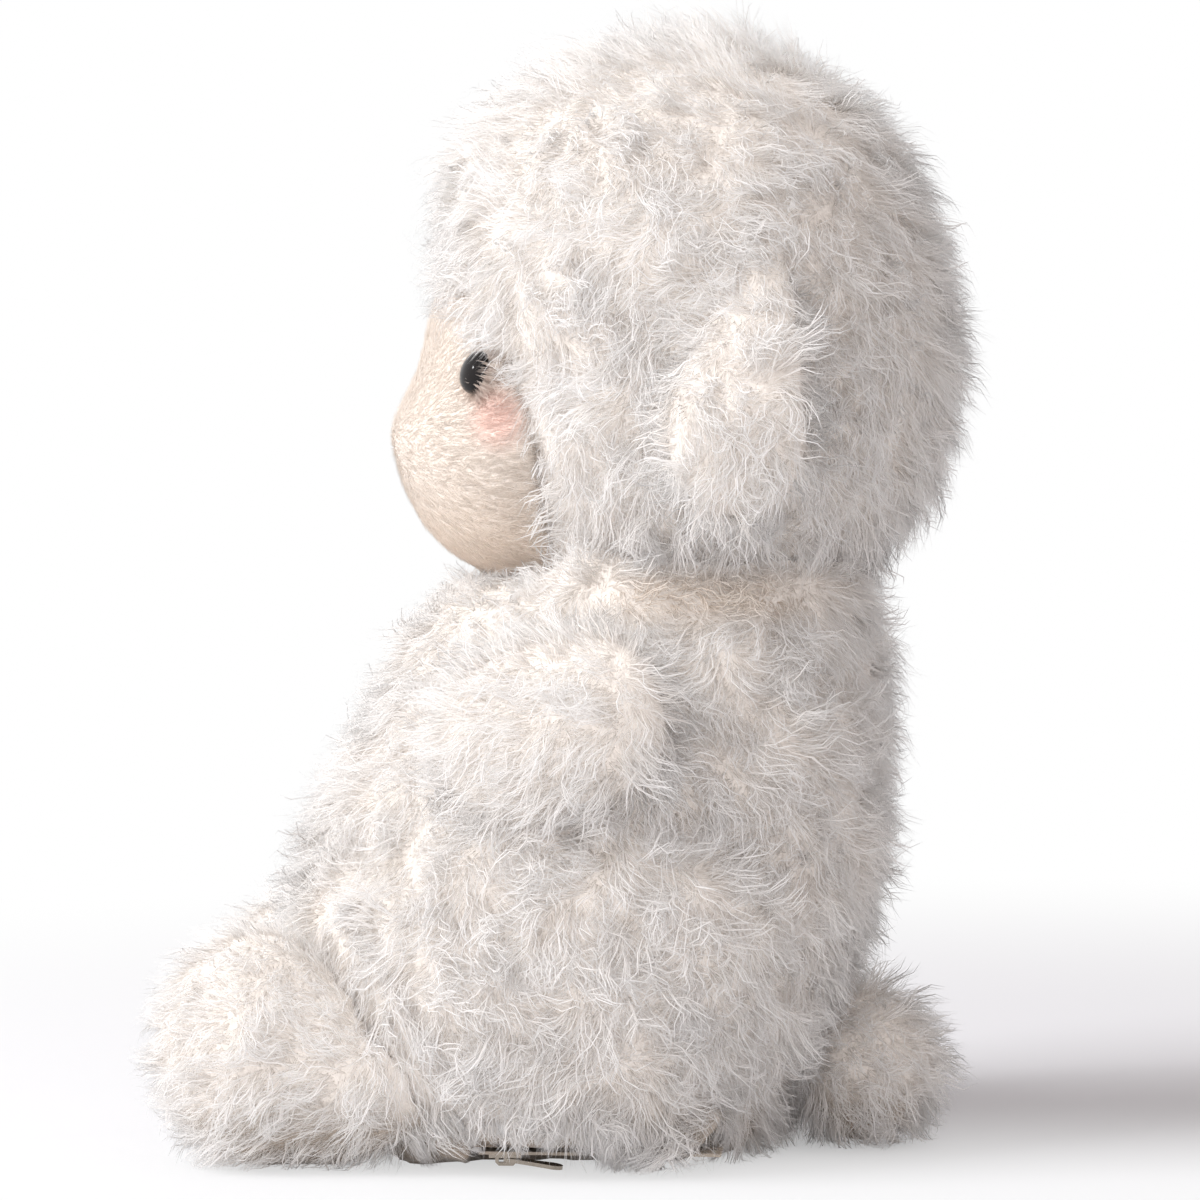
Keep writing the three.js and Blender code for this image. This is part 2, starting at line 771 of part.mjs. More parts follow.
// A tape with its row of teeth. The two rows are half a pitch apart, so they mesh.
function makeTape(name, side, zip) {
  const teeth = [];
  for (let count = 0; count < zipTeeth; count += 1) {
    const tooth = toothShape().rotateZ(side > 0 ? 0 : Math.PI);
    tooth.translate(0, zipHead + (count + 1 / 2 + side / 4) * zipPitch, 0);
    teeth.push(tooth);
  }
  const inner = (side * tapeApart) / 2;
  const outer = side * tapeEdge;
  const cloth = block(
    new THREE.Vector3(Math.min(inner, outer), 0, -tapeThick / 2),
    new THREE.Vector3(Math.max(inner, outer), zipLong, tapeThick / 2),
  );
  const tape = solidOf(cloth).add(solidOf(mergeGeometries(teeth)));
  addPiece(name, geometryOf(tape), 'tape', new THREE.Vector3(), zip);
}

// Turns an outline drawn across the zip into a bar along it.
function alongZip(outline, long, at) {
  return slab(outline, long).rotateX(Math.PI / 2).translate(0, at, 0);
}

// Stops: a clip on each tape in front of the teeth, and one that holds both behind them
function makeStops(zip) {
  const inner = tapeThick / 2 + seatGap;
  const outer = inner + stopWall;
  const edge = tapeApart / 2 - seatGap;
  const frontAt = stopLong / 2 + stopWall;
  for (const [name, side] of [['zip_top_stop_outer', -1], ['zip_top_stop_inner', 1]]) {
    const clip = outlineOf(
      [
        [edge - stopWall, -outer],
        [edge + stopGrip, -outer],
        [edge + stopGrip, -inner],
        [edge, -inner],
        [edge, inner],
        [edge + stopGrip, inner],
        [edge + stopGrip, outer],
        [edge - stopWall, outer],
      ],
    );
    const piece = alongZip(clip, stopLong, frontAt);
    if (side < 0) piece.rotateZ(Math.PI).translate(0, 2 * frontAt, 0);
    addPiece(name, geometryOf(solidOf(piece)), 'nickel', new THREE.Vector3(), zip);
  }
  const reach = edge + stopGrip;
  const clamp = outlineOf([
    [-reach, -outer],
    [reach, -outer],
    [reach, -inner],
    [edge, -inner],
    [edge, inner],
    [reach, inner],
    [reach, outer],
    [-reach, outer],
    [-reach, inner],
    [-edge, inner],
    [-edge, -inner],
    [-reach, -inner],
  ]);
  const backAt = zipLong - zipEnd + stopLong;
  addPiece(
    'zip_bottom_stop',
    geometryOf(solidOf(alongZip(clamp, stopLong, backAt))),
    'nickel',
    new THREE.Vector3(),
    zip,
  );
}

// The slider's outline, wide at its mouth in front and narrower behind, drawn in by a wall
function sliderOutline(inset, past) {
  const mouth = sliderMouth / 2 - inset;
  const tail = sliderTail / 2 - inset;
  const end = sliderLong / 2 + past;
  const shoulder = sliderLong / 4;
  const outline = new THREE.Shape();
  outline.moveTo(-mouth, -end);
  outline.lineTo(mouth, -end);
  outline.lineTo(mouth, -shoulder);
  outline.quadraticCurveTo(mouth, 0, tail, shoulder);
  outline.lineTo(tail, end);
  outline.lineTo(-tail, end);
  outline.lineTo(-tail, shoulder);
  outline.quadraticCurveTo(-mouth, 0, -mouth, -shoulder);
  outline.closePath();
  return outline;
}

// Two plates with flanges that hold the rows, a wedge that parts them, and a bridge
function makeSlider(zip) {
  const body = solidOf(slab(sliderOutline(0, 0), 2 * plateOut))
    .subtract(solidOf(slab(sliderOutline(flangeWide, overrun), ductHigh)))
    .subtract(solidOf(slab(sliderOutline(-overrun, overrun), slitHigh)));
  const front = -sliderLong / 2;
  const wedge = outlineOf([
    [0, front + wedgeLong],
    [-wedgeWide / 2, front + wedgeLong / 2],
    [-wedgeWide / 4, front],
    [wedgeWide / 4, front],
    [wedgeWide / 2, front + wedgeLong / 2],
  ]);
  const foot = plateThick / 2;
  const arch = outlineOf([
    [-bridgeLong / 2, -foot],
    [bridgeThick - bridgeLong / 2, -foot],
    [bridgeThick - bridgeLong / 2, bridgeRoom],
    [bridgeLong / 2 - bridgeThick, bridgeRoom],
    [bridgeLong / 2 - bridgeThick, -foot],
    [bridgeLong / 2, -foot],
    [bridgeLong / 2, bridgeRoom],
    [bridgeLong / 2 - bridgeThick, bridgeRoom + bridgeThick],
    [bridgeThick - bridgeLong / 2, bridgeRoom + bridgeThick],
    [-bridgeLong / 2, bridgeRoom],
  ]);
  const standing = new THREE.Matrix4().makeBasis(
    new THREE.Vector3(0, 1, 0),
    new THREE.Vector3(0, 0, 1),
    new THREE.Vector3(1, 0, 0),
  );
  const bridge = slab(arch, bridgeWide).applyMatrix4(standing).translate(0, 0, plateOut);
  const slider = body.add(solidOf(slab(wedge, 2 * plateOut))).add(solidOf(bridge));
  const at = addPiece('zip_slider', geometryOf(slider), 'nickel', new THREE.Vector3(), zip);
  at.position.y = sliderRest;
}

// A teardrop pull whose eye goes round the bridge
function makePull(zip) {
  const eyeHalf = bridgeWide / 2 + pullPlay;
  const eyeEnd = Math.hypot(bridgeLong / 2, bridgeRoom / 2 + bridgeThick) + runGap;
  const round = pullWide / 2;
  const outline = new THREE.Shape();
  outline.moveTo(-pullNeck / 2, -pullBar / 2);
  outline.lineTo(pullNeck / 2, -pullBar / 2);
  outline.lineTo(pullNeck / 2, eyeEnd);
  outline.quadraticCurveTo(pullNeck / 2, pullLong / 2, round, pullLong - round);
  outline.absarc(0, pullLong - round, round, 0, Math.PI);
  outline.quadraticCurveTo(-pullNeck / 2, pullLong / 2, -pullNeck / 2, eyeEnd);
  outline.closePath();
  const eye = outlineOf([
    [-eyeHalf, pullBar / 2],
    [-eyeHalf, eyeEnd],
    [eyeHalf, eyeEnd],
    [eyeHalf, pullBar / 2],
  ]);
  outline.holes.push(eye);
  const pull = addPiece('zip_pull', slab(outline, pullThick), 'nickel', new THREE.Vector3(), zip);
  pull.position.set(0, sliderRest, plateOut + bridgeRoom / 2);
  pull.rotation.x = THREE.MathUtils.degToRad(pullTipDegrees);
}

// The zip faces the floor, so its own +Z points down.
function makeZip() {
  const zip = new THREE.Group();
  zip.position.set(zipOut, zipFront, zipHigh);
  zip.rotation.y = Math.PI;
  sheep.add(zip);
  makeTape('zip_tape_inner', 1, zip);
  makeTape('zip_tape_outer', -1, zip);
  makeStops(zip);
  makeSlider(zip);
  makePull(zip);
}

makeBody();
makeHead();
makeEars();
makeArms();
makeLegs();
makeTail();
makeZip();

export default sheep;
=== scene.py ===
"""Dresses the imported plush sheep: stuffed skins with their pile, the face and eyes, the zip, and a stage."""
import math

import bmesh
import bpy
import numpy as np
from bpy.props import FloatProperty, FloatVectorProperty, IntProperty, PointerProperty
from mathutils import Matrix, Vector, noise
from mathutils.bvhtree import BVHTree


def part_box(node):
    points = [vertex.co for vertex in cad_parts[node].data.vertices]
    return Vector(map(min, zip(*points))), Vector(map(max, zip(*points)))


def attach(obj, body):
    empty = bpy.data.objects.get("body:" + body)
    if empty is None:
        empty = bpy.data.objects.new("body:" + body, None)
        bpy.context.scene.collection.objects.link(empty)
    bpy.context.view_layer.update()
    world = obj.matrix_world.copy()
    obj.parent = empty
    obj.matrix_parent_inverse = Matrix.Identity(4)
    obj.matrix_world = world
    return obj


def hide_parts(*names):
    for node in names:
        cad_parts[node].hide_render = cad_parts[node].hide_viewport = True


bl_info = {
    "name": "Plush Sheep",
    "version": (1, 0, 0),
    "blender": (4, 5, 0),
    "location": "3D View > Sidebar > Sheep",
    "description": "Makes the skins, pile, face, zip finishes and stage of a seated plush sheep",
    "category": "Object",
}

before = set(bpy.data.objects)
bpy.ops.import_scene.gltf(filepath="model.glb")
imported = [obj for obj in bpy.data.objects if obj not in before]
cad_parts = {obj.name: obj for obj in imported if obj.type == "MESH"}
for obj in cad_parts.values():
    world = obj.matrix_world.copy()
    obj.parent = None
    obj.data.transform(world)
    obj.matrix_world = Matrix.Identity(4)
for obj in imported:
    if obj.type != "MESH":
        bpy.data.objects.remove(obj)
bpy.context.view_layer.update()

MM = 0.001

# Rings of each stuffed form, as in the part's source: place along the form, reach to the front
# and to the back of its middle line, half width, and shift to the side, all as shares.
BODY_ROWS = (
    (0, -0.09, 0.09, 0, 0), (0.003, 0.41, 0.28, 0.337, 0), (0.044, 0.458, 0.325, 0.415, 0),
    (0.143, 0.506, 0.375, 0.478, 0), (0.302, 0.52, 0.443, 0.5, 0), (0.412, 0.506, 0.467, 0.488, 0),
    (0.549, 0.446, 0.476, 0.452, 0), (0.659, 0.392, 0.48, 0.416, 0), (0.769, 0.331, 0.47, 0.38, 0),
    (0.868, 0.253, 0.455, 0.343, 0), (0.95, 0.16, 0.4, 0.28, 0), (1, -0.14, 0.14, 0, 0),
)
HEAD_ROWS = (
    (0, 0.04, -0.04, 0, 0), (0.016, 0.3, 0.235, 0.29, 0), (0.053, 0.37, 0.33, 0.355, 0),
    (0.104, 0.415, 0.39, 0.395, 0), (0.21, 0.462, 0.462, 0.446, 0), (0.37, 0.487, 0.497, 0.49, 0),
    (0.496, 0.497, 0.492, 0.5, 0), (0.623, 0.503, 0.46, 0.492, 0), (0.737, 0.497, 0.415, 0.455, 0),
    (0.845, 0.435, 0.342, 0.382, 0), (0.921, 0.315, 0.238, 0.283, 0), (0.972, 0.18, 0.125, 0.168, 0),
    (1, 0.035, -0.035, 0, 0),
)
FACE_ROWS = (
    (0, 0.1, -0.1, 0, 0), (0.03, 0.31, 0.2, 0.16, 0), (0.076, 0.58, 0.26, 0.27, 0),
    (0.15, 0.78, 0.28, 0.37, 0), (0.245, 0.905, 0.36, 0.44, 0), (0.35, 0.98, 0.48, 0.48, 0),
    (0.453, 1, 0.66, 0.497, 0), (0.6, 0.885, 0.96, 0.5, 0), (0.774, 0.807, 0.92, 0.456, 0),
    (0.887, 0.74, 0.6, 0.38, 0), (0.96, 0.55, 0.2, 0.22, 0), (1, 0.3, -0.3, 0, 0),
)
EAR_ROWS = (
    (0, 0, 0, 0, 0.72), (0.05, 0.27, 0.26, 0.31, 0.76), (0.15, 0.44, 0.43, 0.47, 0.85),
    (0.3, 0.5, 0.5, 0.5, 0.97), (0.48, 0.46, 0.46, 0.46, 1), (0.68, 0.42, 0.4, 0.42, 0.9),
    (0.86, 0.36, 0.34, 0.38, 0.6), (0.95, 0.22, 0.21, 0.26, 0.4), (1, 0, 0, 0, 0.3),
)
ARM_ROWS = (
    (0, 0, 0, 0, 0), (0.06, 0.27, 0.27, 0.3, 0), (0.17, 0.42, 0.41, 0.42, 0),
    (0.36, 0.49, 0.48, 0.49, 0), (0.58, 0.5, 0.5, 0.5, 0), (0.78, 0.46, 0.44, 0.46, 0),
    (0.92, 0.31, 0.28, 0.33, 0), (0.98, 0.15, 0.14, 0.17, 0), (1, 0, 0, 0, 0),
)
LEG_ROWS = (
    (0, 0, 0, 0, 0), (0.07, 0.3, 0.28, 0.32, 0), (0.2, 0.46, 0.42, 0.45, 0),
    (0.4, 0.5, 0.47, 0.47, 0), (0.6, 0.5, 0.49, 0.48, 0), (0.75, 0.5, 0.5, 0.5, 0),
    (0.87, 0.43, 0.42, 0.43, 0), (0.95, 0.29, 0.29, 0.29, 0), (0.99, 0.13, 0.13, 0.13, 0),
    (1, 0, 0, 0, 0),
)
TAIL_ROWS = (
    (0, 0, 0, 0, 0), (0.02, 0.2, 0.18, 0.2, 0), (0.12, 0.38, 0.36, 0.38, 0),
    (0.3, 0.49, 0.48, 0.48, 0), (0.5, 0.5, 0.5, 0.5, 0), (0.7, 0.45, 0.45, 0.45, 0),
    (0.87, 0.32, 0.33, 0.33, 0), (0.97, 0.15, 0.16, 0.16, 0), (1, 0, 0, 0, 0),
)
# Rim of the hood from forehead to chin: depth and height as shares of the face's
RIM_ROWS = ((0.77, 0.9), (0.58, 0.74), (0.4, 0.6), (0.32, 0.45), (0.27, 0.25), (0.22, 0.03))

FORMS = {
    "body": {"rows": BODY_ROWS, "tall": 182.5, "deep": 166, "wide": 166, "low": -0.5, "square": 2.3},
    "head": {"rows": HEAD_ROWS, "tall": 157.5, "deep": 144, "wide": 152, "low": 147, "set": 27},
    "face": {"rows": FACE_ROWS, "tall": 106, "deep": 57, "wide": 105, "low": 146},
    "ear": {"rows": EAR_ROWS, "tall": 90, "deep": 40, "wide": 21, "low": 164, "set": 44, "mid": 62, "out": 20},
    "arm": {"rows": ARM_ROWS, "tall": 76, "deep": 58, "wide": 34},
    "leg": {"rows": LEG_ROWS, "tall": 94, "deep": 57, "wide": 56},
    "tail": {"rows": TAIL_ROWS, "tall": 49, "deep": 48, "wide": 52, "low": -0.5, "set": 71},
}

EYE_AT = Vector((43.25, -29.13, 208.05))
EYE_FACING = Vector((0.486, -0.815, 0.315)).normalized()
EYE_RADIUS = 5.8


# Forms

def smooth_rows(rows, steps):
    """The table with smooth rows filled in between its own."""
    table = np.array(rows, float)
    before = np.vstack((2 * table[0] - table[1], table[:-1]))
    after = np.vstack((table[1:], 2 * table[-1] - table[-2]))
    slopes = (after - before) / 2
    filled = []
    for row in range(len(table) - 1):
        for step in range(steps):
            t = step / steps
            filled.append(
                (2 * t**3 - 3 * t**2 + 1) * table[row]
                + (t**3 - 2 * t**2 + t) * slopes[row]
                + (3 * t**2 - 2 * t**3) * table[row + 1]
                + (t**3 - t**2) * slopes[row + 1]
            )
    return np.array(filled + [table[-1]])


def swell(name, inset, sides=64, steps=6, place=None):
    """Points, in millimetres, and faces of a stuffed form, drawn in by an inset."""
    form = FORMS[name]
    rows = smooth_rows(form["rows"], steps)
    turns = np.linspace(0, 2 * math.pi, sides, endpoint=False)
    power = 2 / form.get("square", 2)
    cos = np.sign(np.cos(turns)) * np.abs(np.cos(turns)) ** power
    sin = np.sign(np.sin(turns)) * np.abs(np.sin(turns)) ** power
    tall, deep = form["tall"], form["deep"]
    rings = []
    for along, front, back, half, side in rows:
        reach = max((front + back) * deep / 2 - (inset if half > 0 else 0), 0)
        spread = max(half * form["wide"] - (inset if half > 0 else 0), 0)
        x = form.get("mid", 0) + side * form.get("out", 0) + spread * cos
        y = form.get("set", 0) + (back - front) * deep / 2 + reach * sin
        z = form.get("low", 0) + tall / 2 + (along - 0.5) * (tall - 2 * inset)
        rings.append(np.column_stack((x, y, np.full(sides, z))))
    points = [rings[0][0]] + [point for ring in rings[1:-1] for point in ring] + [rings[-1][0]]
    top = len(points) - 1
    faces = []
    for step in range(sides):
        after = (step + 1) % sides
        faces.append((0, 1 + after, 1 + step))
        for ring in range(len(rings) - 3):
            here = 1 + ring * sides
            faces.append((here + step, here + after, here + sides + after, here + sides + step))
        faces.append((top - sides + step, top - sides + after, top))
    points = np.array(points)
    if place is not None:
        turn = np.array(place.to_3x3())
        points = points @ turn.T + np.array(place.translation)
    return points, faces


def solid_from(name, points, faces):
    """A mesh object in metres from points in millimetres, with its faces turned outwards."""
    mesh = bpy.data.meshes.new(name)
    mesh.from_pydata((np.asarray(points) * MM).tolist(), [], faces)
    work = bmesh.new()
    work.from_mesh(mesh)
    bmesh.ops.remove_doubles(work, verts=work.verts, dist=0.02 * MM)
    bmesh.ops.recalc_face_normals(work, faces=work.faces)
    work.to_mesh(mesh)
    work.free()
    piece = bpy.data.objects.new(name, mesh)
    bpy.context.scene.collection.objects.link(piece)
    return piece


def applied(piece):
    """Replaces the piece's mesh with what its modifiers make of it."""
    graph = bpy.context.evaluated_depsgraph_get()
    mesh = bpy.data.meshes.new_from_object(
        piece.evaluated_get(graph), preserve_all_data_layers=True, depsgraph=graph
    )
    piece.modifiers.clear()
    piece.data = mesh
    return piece


def remeshed(piece, voxel, rounds=4):
    """Evens the piece's faces out and softens its edges."""
    even = piece.modifiers.new("even", "REMESH")
    even.mode = "VOXEL"
    even.voxel_size = voxel * MM
    soften = piece.modifiers.new("soften", "SMOOTH")
    soften.factor = 0.5
    soften.iterations = rounds
    return applied(piece)


def cut(piece, cutter, how="DIFFERENCE"):
    """Cuts a piece by another, which is then thrown away."""
    step = piece.modifiers.new("cut", "BOOLEAN")
    step.operation = how
    step.object = cutter
    step.solver = "EXACT"
    applied(piece)
    bpy.data.objects.remove(cutter)
    return piece


def rim_line(gap=0.0):
    """The hood's rim as points of depth and height in millimetres, moved forward and down."""
    face = FORMS["face"]
    rows = smooth_rows(RIM_ROWS, 8)
    return np.column_stack((-rows[:, 0] * face["deep"] - gap, face["low"] + rows[:, 1] * face["tall"] - gap))


def front_of_rim(gap=0.0):
    """A block that holds everything in front of the hood's rim."""
    line = rim_line(gap)
    far, deep = -220.0, 20.0
    outline = [(far, line[0][1])] + [tuple(point) for point in line] + [(line[-1][0], deep), (far, deep)]
    count = len(outline)
    points = [(side, y, z) for side in (-100.0, 100.0) for y, z in outline]
    faces = [tuple(range(count)), tuple(range(count, 2 * count))]
    faces += [(k, (k + 1) % count, (k + 1) % count + count, k + count) for k in range(count)]
    return solid_from("front_of_rim", points, faces)


def points_of(mesh):
    """The mesh's points in millimetres."""
    flat = np.empty(len(mesh.vertices) * 3, np.float32)
    mesh.vertices.foreach_get("co", flat)
    return flat.reshape(-1, 3) / MM


def normals_of(mesh):
    """The mesh's point normals."""
    flat = np.empty(len(mesh.vertices) * 3, np.float32)
    mesh.vertices.foreach_get("normal", flat)
    return flat.reshape(-1, 3)


def move_points(mesh, points):
    """Puts the mesh's points at these places, in millimetres."""
    mesh.vertices.foreach_set("co", (np.asarray(points) * MM).astype(np.float32).ravel())
    mesh.update()


def tree_of(points, faces):
    """A search tree of a form's surface, in millimetres."""
    return BVHTree.FromPolygons([tuple(point) for point in points], faces)


def depth_inside(tree, points):
    """How far each point is inside a form: positive inside, negative outside."""
    depths = []
    for point in points:
        near, normal, _, distance = tree.find_nearest(Vector(point))
        outside = (Vector(point) - near).dot(normal) > 0
        depths.append(-distance if outside else distance)
    return np.array(depths)


def push_out(mesh, tree, gap):
    """Flattens a mesh against a form that it would reach into."""
    moved = []
    for point in points_of(mesh):
        near, normal, _, distance = tree.find_nearest(Vector(point))
        if (Vector(point) - near).dot(normal) < gap:
            point = near + normal * gap
        moved.append(tuple(point))
    move_points(mesh, moved)


def store(mesh, name, values, kind="FLOAT"):
    """Stores one value a point on the mesh."""
    attribute = mesh.attributes.get(name) or mesh.attributes.new(name, kind, "POINT")
    key = "vector" if kind == "FLOAT_VECTOR" else "value"
    attribute.data.foreach_set(key, np.asarray(values, np.float32).ravel())


def drift(points, size, seed=0.0):
    """A smooth random vector at each point, about as large as 1, that changes over a size in millimetres."""
    return np.array([noise.noise_vector(Vector(point) / size + Vector((seed, seed, seed))) for point in points])


def unit(vectors):
    """The vectors at length 1."""
    return vectors / np.maximum(np.linalg.norm(vectors, axis=1, keepdims=True), 1e-9)


# Nodes

class Wires:
    """Adds linked nodes to a node tree."""

    def __init__(self, tree):
        self.tree = tree

    def node(self, kind, *feeds, **settings):
        """A node with these settings, whose open sockets are fed in order."""
        added = self.tree.nodes.new(kind)
        for key, value in settings.items():
            setattr(added, key, value)
        live = [socket for socket in added.inputs if socket.enabled]
        for socket, value in zip(live, feeds):
            self.feed(socket, value)
        return added

    def feed(self, socket, value):
        """Links an output to a socket, or sets the socket's own value."""
        if isinstance(value, bpy.types.NodeSocket):
            self.tree.links.new(value, socket)
        elif value is not None:
            socket.default_value = value

    def result(self, kind, *feeds, **settings):
        """The first open output of a new node."""
        added = self.node(kind, *feeds, **settings)
        return next(socket for socket in added.outputs if socket.enabled)

    def math(self, operation, *feeds):
        return self.result("ShaderNodeMath", *feeds, operation=operation)

    def vector(self, operation, *feeds):
        return self.result("ShaderNodeVectorMath", *feeds, operation=operation)

    def total(self, *parts):
        """The sum of several vectors."""
        whole = parts[0]
        for part in parts[1:]:
            whole = self.vector("ADD", whole, part)
        return whole


PILE_INPUTS = (
    ("Skin", "Geometry", None),
    ("Density", "Float", 300000.0),
    ("Lock Density", "Float", 60000.0),
    ("Length", "Float", 0.014),
    ("Unevenness", "Float", 0.3),
    ("Width", "Float", 0.0003),
    ("Taper", "Float", 0.6),
    ("Flatness", "Float", 0.45),
    ("Lift", "Float", 0.7),
    ("Droop", "Float", 0.3),
    ("Spread", "Float", 0.8),
    ("Jitter", "Float", 1.0),
    ("Gather", "Float", 0.6),
    ("Curl", "Float", 0.0015),
    ("Turns", "Float", 0.7),
    ("Sides", "Int", 3),
    ("Segments", "Int", 3),
    ("Floor", "Float", 0.0003),
    ("Seed", "Int", 1),
    ("Lock Seed", "Int", 1),
    ("Material", "Material", None),
)
WORKING_NAMES = (
    "root_at", "root_lay", "lock_at", "span", "rim", "phase", "stand", "comb", "cover", "reach",
)


def make_pile_tree():
    """Grows tapered strands on a skin, drawn together into curling locks."""
    tree = bpy.data.node_groups.new("wool_pile", "GeometryNodeTree")
    for name, kind, value in PILE_INPUTS:
        socket = tree.interface.new_socket(name, in_out="INPUT", socket_type="NodeSocket" + kind)
        if value is not None:
            socket.default_value = value
    tree.interface.new_socket("Pile", in_out="OUTPUT", socket_type="NodeSocketGeometry")
    w = Wires(tree)
    given = tree.nodes.new("NodeGroupInput").outputs

    def named(name, kind="FLOAT"):
        return w.result("GeometryNodeInputNamedAttribute", name, data_type=kind)

    def named_vector(name):
        return named(name, "FLOAT_VECTOR")

    def kept(geometry, name, value, kind="FLOAT_VECTOR"):
        return w.node(
            "GeometryNodeStoreNamedAttribute", geometry, None, name, value, data_type=kind, domain="POINT"
        ).outputs[0]

    def chance(low, high, salt, lock=None):
        """A random number for each lock, or for each strand where no lock is given."""
        seed = w.math("ADD", given["Seed" if lock is None else "Lock Seed"], float(salt))
        return w.result("FunctionNodeRandomValue", low, high, lock, seed, data_type="FLOAT")

    def jittered(reach, salt):
        return w.math("MULTIPLY", chance(-reach, reach, salt), given["Jitter"])

    cover = named("cover")
    locks = w.node(
        "GeometryNodeDistributePointsOnFaces", given["Skin"], None,
        w.math("MULTIPLY", given["Lock Density"], cover), given["Lock Seed"],
    ).outputs["Points"]
    strands = w.node(
        "GeometryNodeDistributePointsOnFaces", given["Skin"], None,
        w.math("MULTIPLY", given["Density"], cover), given["Seed"],
    )
    place = w.result("GeometryNodeInputPosition")
    lock = w.result("GeometryNodeSampleNearest", locks, place, domain="POINT")
    lock_place = w.result(
        "GeometryNodeSampleIndex", locks, place, lock, data_type="FLOAT_VECTOR", domain="POINT"
    )
    up = strands.outputs["Normal"]
    comb = named_vector("comb")
    lean = w.vector("SCALE", up, w.vector("DOT_PRODUCT", comb, up))
    flat = w.vector("NORMALIZE", w.vector("SUBTRACT", comb, lean))
    turn = w.math("MULTIPLY", w.math("ADD", chance(-1.0, 1.0, 1, lock), jittered(0.3, 2)), given["Spread"])
    lay = w.result("ShaderNodeVectorRotate", flat, None, up, turn, rotation_type="AXIS_ANGLE")
    span = w.math("MULTIPLY_ADD", chance(-1.0, 1.0, 3, lock), given["Unevenness"], 1.0)
    span = w.math("MULTIPLY", span, w.math("ADD", 1.0, jittered(0.16, 4)))
    span = w.math("MULTIPLY", w.math("MULTIPLY", given["Length"], span), named("reach"))
    phase = w.math("ADD", chance(0.0, 1.0, 5, lock), jittered(0.05, 6))
    tone = w.math("MULTIPLY_ADD", chance(0.0, 1.0, 7, lock), 0.65, chance(0.0, 0.35, 8))
    stand = w.math("ADD", given["Lift"], w.math("ADD", chance(-0.22, 0.18, 9, lock), jittered(0.07, 10)))
    stand = w.result("ShaderNodeClamp", stand, 0.05, 0.97)

    points = strands.outputs["Points"]
    for name, value in (("root_at", place), ("root_up", up), ("root_lay", lay), ("lock_at", lock_place)):
        points = kept(points, name, value)
    for name, value in (("span", span), ("phase", phase), ("tone", tone), ("stand", stand)):
        points = kept(points, name, value, "FLOAT")

    strand = w.node(
        "GeometryNodeMeshCone", given["Sides"], given["Segments"], 1, 0.0, 1.0, 1.0, fill_type="NGON"
    ).outputs["Mesh"]
    parts = w.node("ShaderNodeSeparateXYZ", w.result("GeometryNodeInputPosition"))
    rim = w.vector("NORMALIZE", w.result("ShaderNodeCombineXYZ", parts.outputs[0], parts.outputs[1], 0.0))
    strand = kept(strand, "along", parts.outputs[2], "FLOAT")
    strand = kept(strand, "rim", rim)
    grown = w.node("GeometryNodeInstanceOnPoints", points, None, strand).outputs[0]
    grown = w.node("GeometryNodeRealizeInstances", grown).outputs[0]

    t, span, phase, lift = named("along"), named("span"), named("phase"), named("stand")
    root, up, lay = named_vector("root_at"), named_vector("root_up"), named_vector("root_lay")
    side = w.vector("NORMALIZE", w.vector("CROSS_PRODUCT", up, lay))
    run = w.math("SQRT", w.math("SUBTRACT", 1.0, w.math("MULTIPLY", lift, lift)))
    droop = w.math("MULTIPLY", given["Droop"], t)
    lean = w.math("MULTIPLY", lift, t)
    length = w.math("MULTIPLY", span, t)
    rise = w.math("MULTIPLY", w.math("MULTIPLY", lift, w.math("SUBTRACT", 1.0, droop)), length)
    out = w.math("MULTIPLY", w.math("MULTIPLY_ADD", lean, 0.25, run), length)
    turn = w.math("MULTIPLY", w.math("MULTIPLY_ADD", given["Turns"], t, phase), 2 * math.pi)
    sway = w.math("MULTIPLY", given["Curl"], t)
    swing = w.vector("SCALE", side, w.math("MULTIPLY", sway, w.math("SINE", turn)))
    bounce = w.vector("SCALE", up, w.math("MULTIPLY", w.math("MULTIPLY", sway, 0.6), w.math("COSINE", turn)))
    draw = w.vector(
        "SCALE", w.vector("SUBTRACT", named_vector("lock_at"), root), w.math("MULTIPLY", given["Gather"], t)
    )
    spine = w.total(root, w.vector("SCALE", up, rise), w.vector("SCALE", lay, out), swing, bounce, draw)
    steep = w.math("MULTIPLY", lift, w.math("SUBTRACT", 1.0, w.math("MULTIPLY", droop, 2.0)))
    level = w.math("MULTIPLY_ADD", lean, 0.5, run)
    heading = w.vector("ADD", w.vector("SCALE", up, steep), w.vector("SCALE", lay, level))
    across = w.vector("NORMALIZE", w.vector("CROSS_PRODUCT", heading, side))
    thin = w.math("POWER", w.math("MAXIMUM", w.math("SUBTRACT", 1.0, t), 0.0), given["Taper"])
    thick = w.math("MULTIPLY", given["Width"], thin)
    rim_parts = w.node("ShaderNodeSeparateXYZ", named_vector("rim")).outputs
    ring = w.vector(
        "SUBTRACT",
        w.vector("SCALE", across, w.math("MULTIPLY", w.math("MULTIPLY", rim_parts[0], thick), given["Flatness"])),
        w.vector("SCALE", side, w.math("MULTIPLY", rim_parts[1], thick)),
    )
    where = w.node("ShaderNodeSeparateXYZ", w.vector("ADD", spine, ring)).outputs
    height = w.math("MAXIMUM", where[2], w.math("MULTIPLY_ADD", named("tone"), 0.0015, given["Floor"]))
    final = w.result("ShaderNodeCombineXYZ", where[0], where[1], height)
    grown = w.node("GeometryNodeSetPosition", grown, None, final).outputs[0]
    grown = w.node("GeometryNodeSetShadeSmooth", grown, None, True).outputs[0]
    grown = w.node("GeometryNodeRealizeInstances", grown).outputs[0]
    grown = w.node("GeometryNodeSetMaterial", grown, None, given["Material"]).outputs[0]
    w.feed(tree.nodes.new("NodeGroupOutput").inputs[0], grown)
    return tree


